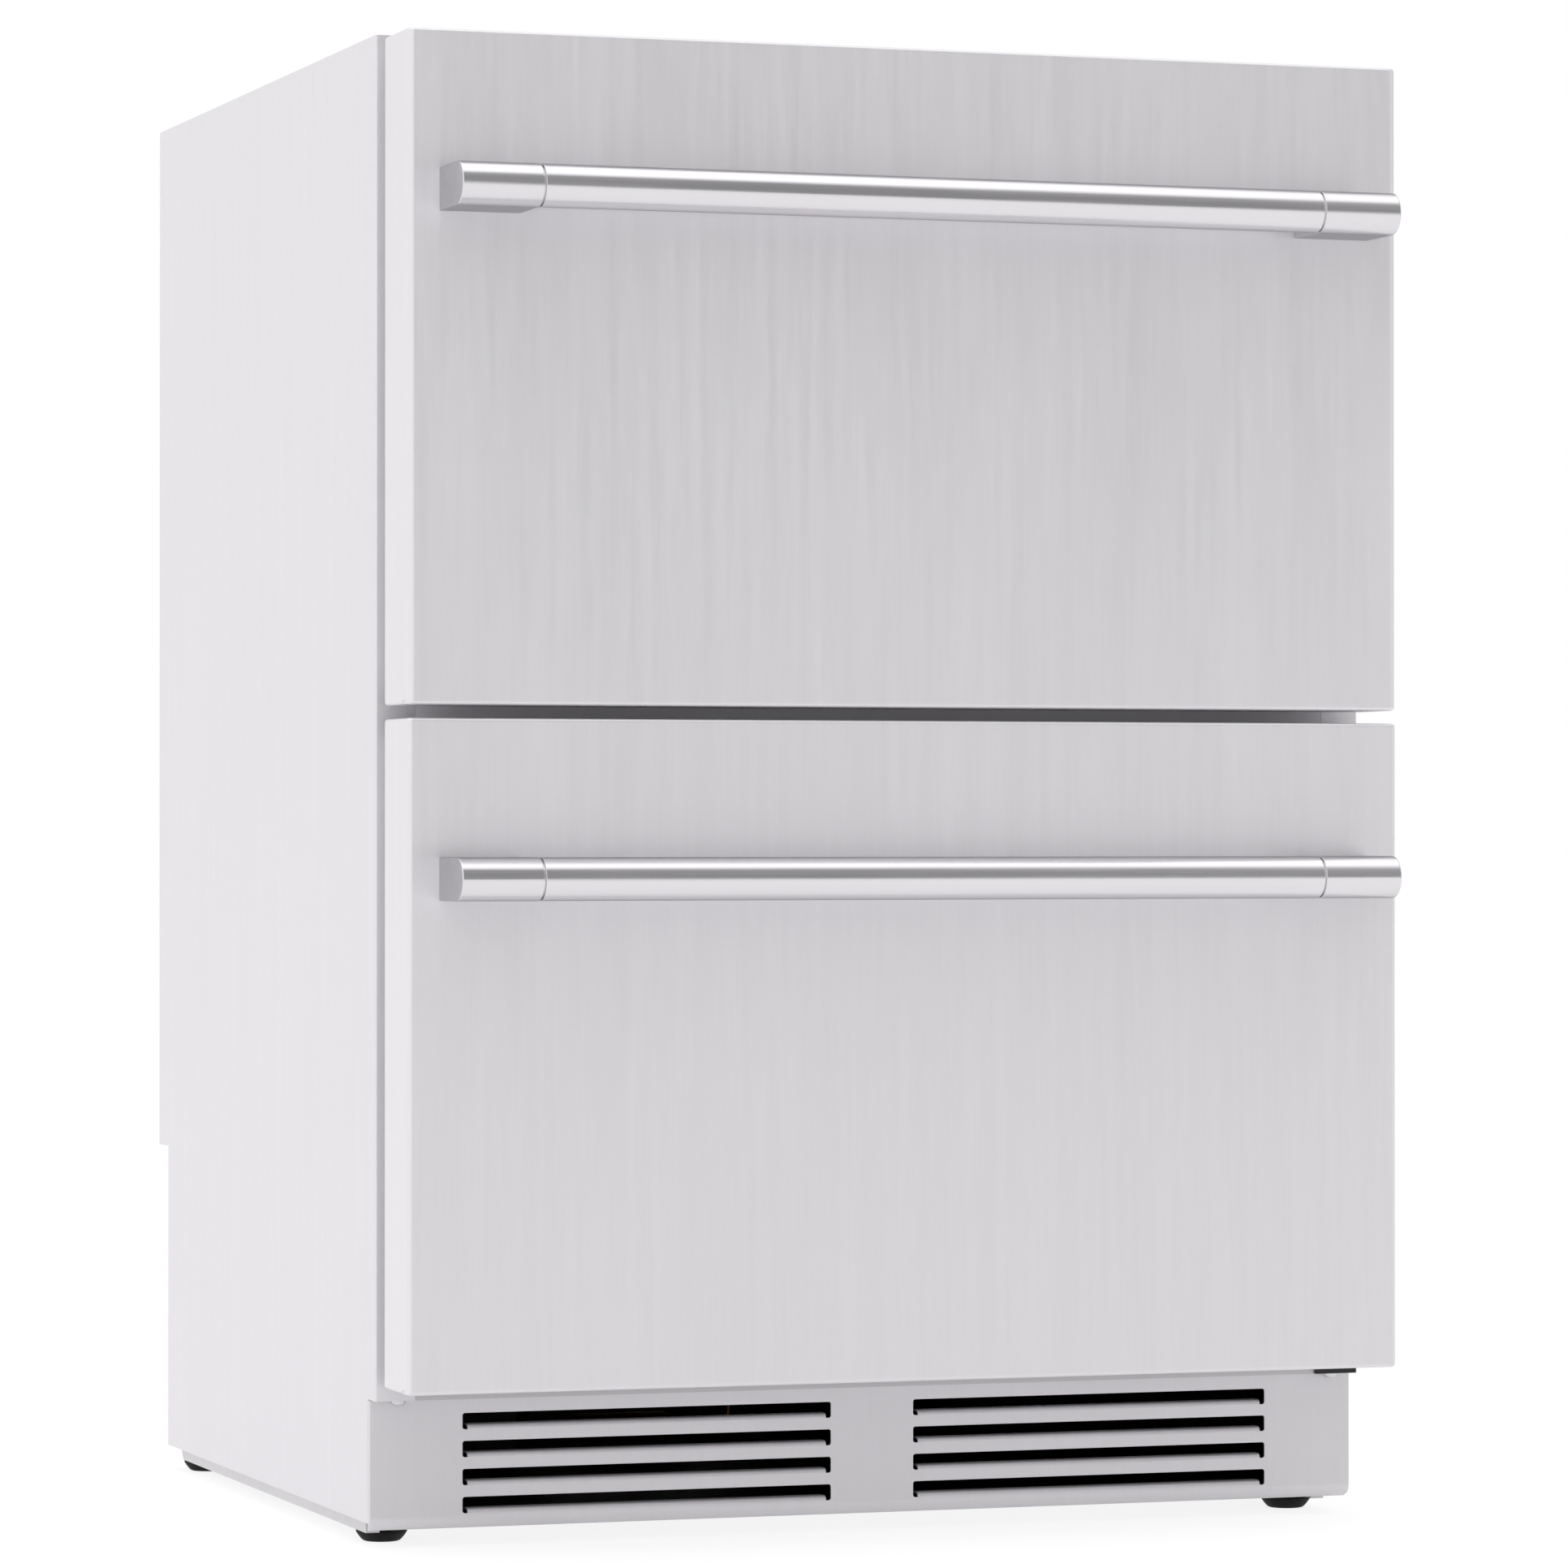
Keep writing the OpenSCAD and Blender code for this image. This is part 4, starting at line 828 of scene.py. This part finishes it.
LOUVRE_L = 219 * MM
LOUVRE_OPEN = 6.4 * MM
LOUVRE_ROLL = 2.8 * MM
LOUVRE_ROUND = 1.4 * MM
LOUVRE_EASE = 0.8 * MM
LOUVRE_OVERLAP = 0.6 * MM  # of a tab's foot with the plate
LOUVRE_CUT = 3 * MM  # left out at each end of a tab
LOUVRE_PITCH = 15.7 * MM
LOUVRE_TOP = 75.1 * MM
LOUVRE_X = 25 * MM
LOUVRE_ROWS = 4
KICK_FOLD = 3.1 * MM
KICK_ROLL = 8 * MM
KICK_DEPTH = 14 * MM
KICK_TOP_ROUND = 0.8 * MM
FLANGE_PLAY = 0.05 * MM
FLANGE_DROP = 0.5 * MM  # of the flanges' top below the plate's


def quarter_roll(radius, turns=6):
    """The steps of a quarter turn from the plate's face up and inwards."""
    angles = [pi / 2 * turn / turns for turn in range(turns + 1)]
    return [(0, radius * (cos(a) - cos(b)), radius * (sin(b) - sin(a))) for a, b in zip(angles, angles[1:])]


def all_louvres(piece):
    """A piece of the highest louvre on the right, repeated down the rows and on the left."""
    rows = [twin(piece, "row", shifted(z=-row * LOUVRE_PITCH)) for row in range(1, LOUVRE_ROWS)]
    right = join("right", piece, *rows)
    return join("both", right, twin(right, "left", MIRRORED))


def louvres(plate):
    """Cuts the openings and welds in the tabs that roll inwards from their lower edges."""
    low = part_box("kick_plate")[0]
    bottom = LOUVRE_TOP - LOUVRE_OPEN - LOUVRE_ROLL
    opening = block("opening", (LOUVRE_X, low.y - 3 * SHEET, bottom),
                    (LOUVRE_X + LOUVRE_L, low.y + 3 * SHEET, LOUVRE_TOP))
    bevel_picked(opening, "EDGE", edges_along("y"), LOUVRE_ROUND, 4)
    cut(plate, all_louvres(opening))
    for row in range(LOUVRE_ROWS):
        top = edges_along("x", y=low.y, z=LOUVRE_TOP - row * LOUVRE_PITCH)
        bevel_picked(plate, "EDGE", top, LOUVRE_EASE, 4)
    # a tab is as long, rolled out, as the opening that it was bent from is high
    shelf = LOUVRE_OPEN + LOUVRE_ROLL - pi / 2 * (LOUVRE_ROLL - SHEET / 2)
    steps = [(0, 0, LOUVRE_OVERLAP)] + quarter_roll(LOUVRE_ROLL) + [(0, shelf, 0)]
    tab = folded("tab", (LOUVRE_X + LOUVRE_CUT, low.y, bottom - LOUVRE_OVERLAP),
                 (LOUVRE_L - 2 * LOUVRE_CUT, 0, 0), steps, SHEET)
    weld(plate, all_louvres(tab))


def kick_plate():
    """The toe grille's plate: a roll along its bottom, rounded side folds and a return along its top."""
    low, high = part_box("kick_plate")
    plate = block("toe_plate", low, (high.x, low.y + KICK_DEPTH, high.z))
    bevel_picked(plate, "EDGE", edges_along("x", y=low.y, z=low.z), KICK_ROLL, 8)
    # it is open at the back and underneath
    delete_faces(plate, lambda face: face.normal.y > 0.95 or face.normal.z < -0.999)
    bevel_picked(plate, "EDGE", lambda edge: not edge.is_boundary and near(abs(edge.verts[0].co.x), high.x)
                 and across_x(edge) and middle(edge).z < high.z - TOLERANCE, KICK_FOLD - FLANGE_PLAY, 8)
    top = level_edges(high.z)
    bevel_picked(plate, "EDGE", lambda edge: top(edge) and middle(edge).y < low.y + KICK_FOLD - TOLERANCE,
                 KICK_TOP_ROUND, 3)
    # behind its folds the plate is narrower, and its flanges stand inside the cabinet's side panels
    flange_x = high.x - SHEET - FLANGE_PLAY
    split(plate, "y", low.y + KICK_FOLD)
    for side in (-1, 1):
        pick(plate, "FACE", lambda face: middle(face).y > low.y + KICK_FOLD)
        bpy.ops.mesh.bisect(plane_co=(side * flange_x, 0, 0), plane_no=(1, 0, 0))
        leave()
    delete_faces(plate, lambda face: middle(face).y > low.y + KICK_FOLD and abs(middle(face).x) > flange_x)
    face_out(plate, (0, low.y, 0.05), (0, -1, 0))
    wall(plate, SHEET)
    flange = block("flange", (flange_x - SHEET, low.y + KICK_FOLD - SHEET, low.z + KICK_ROLL),
                   (flange_x, low.y + KICK_DEPTH, high.z - FLANGE_DROP))
    weld(plate, join("flanges", flange, twin(flange, "flange", MIRRORED)))
    louvres(plate)
    return dress(plate, "kick_plate")


kick_plate()


# ---------------------------------------------------------------- panels, base and rear cover

FRONT_FOLD = 1.2 * MM
TOP_FOLD = 0.3 * MM


def side_panel(side):
    """A side panel with a rounded fold at its front edge and tighter ones elsewhere."""
    panel = from_cad(side + "_side_panel")
    low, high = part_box(side + "_side_panel")
    outer = max(abs(low.x), abs(high.x))
    bevel_picked(panel, "EDGE", edges_along("z", x_abs=outer, y=low.y), FRONT_FOLD, 5)
    ease_edges(panel, TOP_FOLD)
    return dress(panel, side + "_side_panel")


for side in ("left", "right"):
    side_panel(side)

EASED = {  # how far the edges of each piece are eased, in millimetres
    "top_panel": 0.35, "mullion_bar": 0.5, "bottom_rail": 0.4,
    "rear_panel": 0.3, "base_pan": 0.3, "corner_plate": 0.4,
    "evaporator_cover": 0.5, "control_panel": 0.8,
    "light_bars": 1.2, "control_box": 1.5, "drip_tray": 0.4, "relay_cover": 2.0, "condenser_shroud": 0.4,
}
for name, width in EASED.items():
    dress(from_cad(name, width * MM), name)


VENT_L = 62 * MM
VENT_H = 5 * MM
VENT_X = -215 * MM
VENT_Z = 95 * MM
VENT_STEP_X = 75 * MM
VENT_STEP_Z = 12 * MM
VENT_COLUMNS = 5
VENT_ROWS = 6
HOOD_OUT = 4.5 * MM
HOOD_SIDE = 0.8 * MM
HOOD_TOP = 1.2 * MM
HOOD_LIFT = 0.6 * MM  # of its open lower edge over the vent's
HOOD_SINK = 0.3 * MM  # into the cover, so that they join
HOOD_ROUND = 3.6 * MM
HOOD_SIDE_ROUND = 1.2 * MM
HOOD_T = 0.7 * MM
COVER_EASE = 0.2 * MM


def machine_cover():
    """The rear cover with a pressed hood over each of its vents."""
    cover = from_cad("machine_cover")
    face_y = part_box("machine_cover")[1].y
    top = VENT_Z + VENT_H + HOOD_TOP
    hood = block("hood", (VENT_X - HOOD_SIDE, face_y - HOOD_SINK, VENT_Z + HOOD_LIFT),
                 (VENT_X + VENT_L + HOOD_SIDE, face_y + HOOD_OUT, top))
    delete_faces(hood, lambda face: face.normal.y < -0.95 or face.normal.z < -0.95)
    bevel_picked(hood, "EDGE", edges_along("x", y=face_y + HOOD_OUT, z=top), HOOD_ROUND, 5)
    bevel_picked(hood, "EDGE", lambda edge: edge.calc_face_angle(0) > radians(60) and across_x(edge),
                 HOOD_SIDE_ROUND, 3)
    wall(hood, HOOD_T)
    others = [twin(hood, "hood", shifted(column * VENT_STEP_X, 0, row * VENT_STEP_Z))
              for column in range(VENT_COLUMNS) for row in range(VENT_ROWS) if column or row]
    weld(cover, join("hoods", hood, *others))
    return dress(ease_edges(cover, COVER_EASE, 1), "machine_cover")


machine_cover()


# ---------------------------------------------------------------- slides

SLIDE_T = 1.5 * MM
SLOT_COUNT = 5
SLOT_HALF_L = 22 * MM
SLOT_HALF_H = 6 * MM
SLOT_ROUND = 5.9 * MM
# how far inside the liner's wall the members' parts stand, and how high and how tightly folded they are
CHANNEL_TIPS = 11.7 * MM
MIDDLE_WEB = 1.8 * MM
INNER_TIPS = 3.6 * MM
INNER_WEB = 13.5 * MM
OUTER_H, MIDDLE_H, INNER_H = 45 * MM, 41.4 * MM, 37.8 * MM
OUTER_FOLD, MIDDLE_FOLD, INNER_FOLD = 2.2 * MM, 1.8 * MM, 1.6 * MM


def slide_channel(name, tip_x, web_x, z, height, fold, reach):
    """One channel on the right side, folded from a strip: flange, web, flange."""
    y0, y1 = reach
    across = web_x - tip_x
    if across > 0:
        y0, y1 = y1, y0
    steps = [(across, 0, 0), (0, 0, -height), (-across, 0, 0)]
    return folded(name, (tip_x, y0, z + height / 2), (0, y1 - y0, 0), steps, SLIDE_T, fold)


def slots_in_web(channel, web_x, z, reach):
    """Cuts a row of long holes into a member's web."""
    y0, y1 = reach
    step = (y1 - y0) / SLOT_COUNT
    middle_y = y0 + step / 2
    hole = block("hole", (web_x - 2 * SLIDE_T, middle_y - SLOT_HALF_L, z - SLOT_HALF_H),
                 (web_x + 2 * SLIDE_T, middle_y + SLOT_HALF_L, z + SLOT_HALF_H))
    bevel_picked(hole, "EDGE", edges_along("x"), SLOT_ROUND, 6)
    others = [twin(hole, "hole", shifted(y=step * turn)) for turn in range(1, SLOT_COUNT)]
    return cut(channel, join("holes", hole, *others))


def slide_members(name, levels, tips, web, height, fold, slotted=False):
    """The members of one kind on both sides."""
    low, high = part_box(name)
    reach = (low.y, high.y)
    web_x = CAVE_X - web
    made = []
    for z in levels:
        member = slide_channel("member", CAVE_X - tips, web_x, z, height, fold, reach)
        if slotted:
            slots_in_web(member, web_x, z, reach)
        made += [member, twin(member, "member", MIRRORED)]
    return dress(join(name + "_folded", *made), name)


LEVELS = {drawer: sum(corner.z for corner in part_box(drawer + "_middle_slides")) / 2 for drawer in DRAWERS}
slide_members("outer_slides", LEVELS.values(), CHANNEL_TIPS, 0, OUTER_H, OUTER_FOLD)
for drawer, level in LEVELS.items():
    slide_members(drawer + "_middle_slides", [level], CHANNEL_TIPS, MIDDLE_WEB, MIDDLE_H, MIDDLE_FOLD, True)
    slide_members(drawer + "_inner_slides", [level], INNER_TIPS, INNER_WEB, INNER_H, INNER_FOLD)


# ---------------------------------------------------------------- screws and legs


# shares of a screw head's height and radius, from under it to its top
HEAD_SHAPE = ((0, 0.97), (0.12, 1), (0.45, 0.97), (0.75, 0.84), (0.93, 0.62), (1, 0.35))
TIP_SHARE = 0.4
RECESS_ARM, RECESS_HALF_W = 0.55, 0.12
RECESS_FLOOR = 0.35


def pan_screw(name, head_r, head_h, shank_r, shank_l):
    """A screw along +Z with its head above nought, and a cross recess."""
    shank = [(-shank_l, shank_r * TIP_SHARE), (-shank_l + shank_r, shank_r), (0, shank_r)]
    head = [(head_h * height, head_r * radius) for height, radius in HEAD_SHAPE]
    screw = turned(name, (0, 0, 0), shank + head, sides=32)
    arm, half = head_r * RECESS_ARM, head_r * RECESS_HALF_W
    one = block("recess", (-arm, -half, head_h * RECESS_FLOOR), (arm, half, head_h + OVERRUN))
    cross = weld(one, twin(one, "recess", Matrix.Rotation(pi / 2, 4, "Z")))
    return cut(screw, cross)


REAR_SCREW = {"head_r": 3.5 * MM, "head_h": 2.2 * MM, "shank_r": 1.55 * MM, "shank_l": 6 * MM}
REAR_SCREW_X = 288 * MM
PANEL_SCREW_Z = (225 * MM, 524.5 * MM, 820 * MM)
COVER_SCREW_Z = (35.6 * MM, 185 * MM)
CORNER_SCREW = {"head_r": 4.2 * MM, "head_h": 3.2 * MM, "shank_r": 1.95 * MM, "shank_l": 8 * MM}
CORNER_SCREW_X = 283 * MM
CORNER_SCREW_Z = 84 * MM


def screws(name, sizes, turn, places):
    """Copies of one screw, turned to its side and set at each place."""
    screw = pan_screw("screw", **sizes)
    copies = [twin(screw, "copy", shifted(*place) @ turn) for place in places]
    bpy.data.objects.remove(screw)
    return join(name, *copies)


def rear_screws():
    """The screws of the rear panel and of the machine compartment's cover."""
    panel_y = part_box("rear_screws")[1].y - REAR_SCREW["head_h"]
    cover_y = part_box("machine_cover")[1].y
    rows = [(panel_y, z) for z in PANEL_SCREW_Z] + [(cover_y, z) for z in COVER_SCREW_Z]
    places = [(side * REAR_SCREW_X, y, z) for side in (-1, 1) for y, z in rows]
    return dress(screws("panel_screws", REAR_SCREW, TO_BACK, places), "rear_screws")


def corner_screws():
    """The two screws under the frame's bottom corners, heads down."""
    low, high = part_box("corner_screws")
    places = [(side * CORNER_SCREW_X, (low.y + high.y) / 2, CORNER_SCREW_Z) for side in (-1, 1)]
    return dress(screws("frame_screws", CORNER_SCREW, TO_FLOOR, places), "corner_screws")


FOOT_SHAPE = (  # height and radius in millimetres, from the floor to the foot's inner edge at its top
    (0, 9.6), (0.35, 10.5), (1.4, 11.7), (3.2, 13.2), (4.7, 14.2), (5.2, 14.5), (6.1, 14.5),
    (6.4, 14.1), (6.4, 7),
)
COLLAR_R = 6.5 * MM
COLLAR_LOW = 6.3 * MM
COLLAR_TOP = 14.1 * MM
COLLAR_EASE = 0.5 * MM
STUD_R = 5 * MM
STUD_FOOT_R = 4.5 * MM
STUD_CORE_R = 4.4 * MM
STUD_TIP_R = 3.6 * MM
STUD_LEAD = 0.5 * MM
STUD_TOP = 46 * MM
THREAD_TOP = 45 * MM
THREAD_PITCH = 1.5 * MM
THREAD_SHAPE = (  # share of the pitch, and the radius there
    (0.2, STUD_CORE_R), (0.55, STUD_R), (0.7, STUD_R), (1.0, STUD_CORE_R),
)


def leg(place):
    """A levelling leg: a round foot, the hexagon that turns it and a stud, its thread drawn as rings."""
    node_name = "leg_" + place
    low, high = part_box(node_name)
    centre = Vector(((low.x + high.x) / 2, (low.y + high.y) / 2, 0))
    foot_shape = [(height * MM, radius * MM) for height, radius in FOOT_SHAPE]
    foot = turned(node_name + "_foot", centre, foot_shape)
    collar = rod("collar", centre + Vector((0, 0, COLLAR_LOW)), COLLAR_R, COLLAR_TOP - COLLAR_LOW, sides=6)
    ease_edges(collar, COLLAR_EASE)
    at = COLLAR_TOP - OVERRUN
    stud_shape = [(at, STUD_FOOT_R)]
    while at + THREAD_PITCH < THREAD_TOP:
        stud_shape += [(at + share * THREAD_PITCH, radius) for share, radius in THREAD_SHAPE]
        at += THREAD_PITCH
    stud_shape += [(STUD_TOP - STUD_LEAD, STUD_CORE_R), (STUD_TOP, STUD_TIP_R)]
    stud = turned("stud", centre, stud_shape, sides=32)
    return dress(join(node_name + "_turned", foot, collar, stud), node_name, smooth=40)


rear_screws()
corner_screws()
for place in ("front_left", "front_right", "rear_left", "rear_right"):
    leg(place)


# ---------------------------------------------------------------- stage

ROOM_LIGHT = 1.0
FAR_LIGHT = 0.68
WALL_LIGHT = 1.08
CEILING_LIGHT = 1.4
PANEL_LIGHT = 0.28
# where each stands on the horizon, and the cosines of the angles to it where it fades in
ROOM_WAY, ROOM_FADE = (-0.94, -0.34, 0), (-0.75, 0.25)
WALL_WAY, WALL_FADE = (0, -1, 0), (0.45, 0.85)
PANEL_WAY, PANEL_FADE = (0.32, -0.95, 0), (0.90, 0.985)
# heights on a sphere of radius one
CEILING_FADE = (0.72, 0.90)
PANEL_TOP_FADE = (0.88, 0.72)
FLOOR_SHADE = 0.9
FLOOR_GLOW = 1.1
GLOW_SEEN = 0.76
GLOW_MIRRORED = 0.55


def blend(tree, mask, first, second):
    """A value that goes from the first to the second as the mask goes from nought to one."""
    return maths(tree, "ADD", maths(tree, "MULTIPLY", maths(tree, "SUBTRACT", second, first), mask), first)


def fade(tree, value, first, last):
    """Nought to one, softly, as a value goes from the first place to the last."""
    return node(tree, "MapRange", [(0, value)], [(1, first), (2, last), (3, 0.0), (4, 1.0)],
                interpolation_type="SMOOTHSTEP").outputs[0]


def studio():
    """White to the camera. What the steel sees is a room that is darker on the right and behind, with a
    light wall in front, a bright ceiling and a dark panel that gives the handles their band."""
    world = bpy.context.scene.world or bpy.data.worlds.new("World")
    bpy.context.scene.world = world
    world.use_nodes = True
    tree = world.node_tree
    tree.nodes.clear()
    out = node(tree, "OutputWorld")
    direction = node(tree, "TexCoord").outputs["Generated"]
    height = node(tree, "SeparateXYZ", [(0, direction)]).outputs[2]
    just_over_one = 1.0001  # keeps the root above nought straight up and down
    square = maths(tree, "MULTIPLY", height, height)
    level = maths(tree, "SQRT", maths(tree, "SUBTRACT", just_over_one, square))

    def around(way, limits):
        """A mask of the directions near one on the horizon."""
        along = node(tree, "VectorMath", [(0, direction)], [(1, way)], operation="DOT_PRODUCT")
        return fade(tree, maths(tree, "DIVIDE", along.outputs["Value"], level), *limits)

    light = blend(tree, around(ROOM_WAY, ROOM_FADE), FAR_LIGHT, ROOM_LIGHT)
    light = blend(tree, around(WALL_WAY, WALL_FADE), light, WALL_LIGHT)
    light = blend(tree, fade(tree, height, *CEILING_FADE), light, CEILING_LIGHT)
    panel = maths(tree, "MULTIPLY", around(PANEL_WAY, PANEL_FADE), fade(tree, height, *PANEL_TOP_FADE))
    light = blend(tree, panel, light, PANEL_LIGHT)
    seen = node(tree, "LightPath").outputs["Is Camera Ray"]
    background = node(tree, "Background", [(1, maths(tree, "MAXIMUM", light, seen))], [(0, (1, 1, 1, 1))])
    tree.links.new(background.outputs[0], out.inputs[0])


def floor():
    """A pale floor that is white to the camera and in reflections, apart from the object's shadow."""
    deselect()
    bpy.ops.mesh.primitive_plane_add(size=40)
    ground = settle("floor")
    material = bpy.data.materials.new("floor")
    material.use_nodes = True
    tree = material.node_tree
    shader = tree.nodes["Principled BSDF"]
    shader.inputs["Base Color"].default_value = (FLOOR_SHADE, FLOOR_SHADE, FLOOR_SHADE, 1)
    shader.inputs["Roughness"].default_value = 0.9
    shader.inputs["Specular IOR Level"].default_value = 0
    path = node(tree, "LightPath").outputs
    glow = node(tree, "Emission", values=[(0, (1, 1, 1, 1)), (1, FLOOR_GLOW)])
    seen = maths(tree, "MULTIPLY", path["Is Camera Ray"], GLOW_SEEN)
    mirrored = maths(tree, "MULTIPLY", path["Is Glossy Ray"], GLOW_MIRRORED)
    share = maths(tree, "ADD", seen, mirrored)
    mix = node(tree, "MixShader", [(0, share), (1, shader.outputs[0]), (2, glow.outputs[0])])
    tree.links.new(mix.outputs[0], tree.nodes["Material Output"].inputs[0])
    ground.data.materials.append(material)


studio()
floor()

CAMERA_PLACE = (-1.2203, -3.63175, 0.4015)
CAMERA_TILT = 90.43
CAMERA_TURN = -18.77
bpy.ops.object.camera_add(location=CAMERA_PLACE, rotation=(radians(CAMERA_TILT), 0, radians(CAMERA_TURN)))
camera = bpy.context.active_object
camera.data.lens = 145.7
camera.data.sensor_width = 36
camera.data.clip_end = 100
bpy.context.scene.camera = camera
bpy.context.scene.view_settings.view_transform = "Standard"
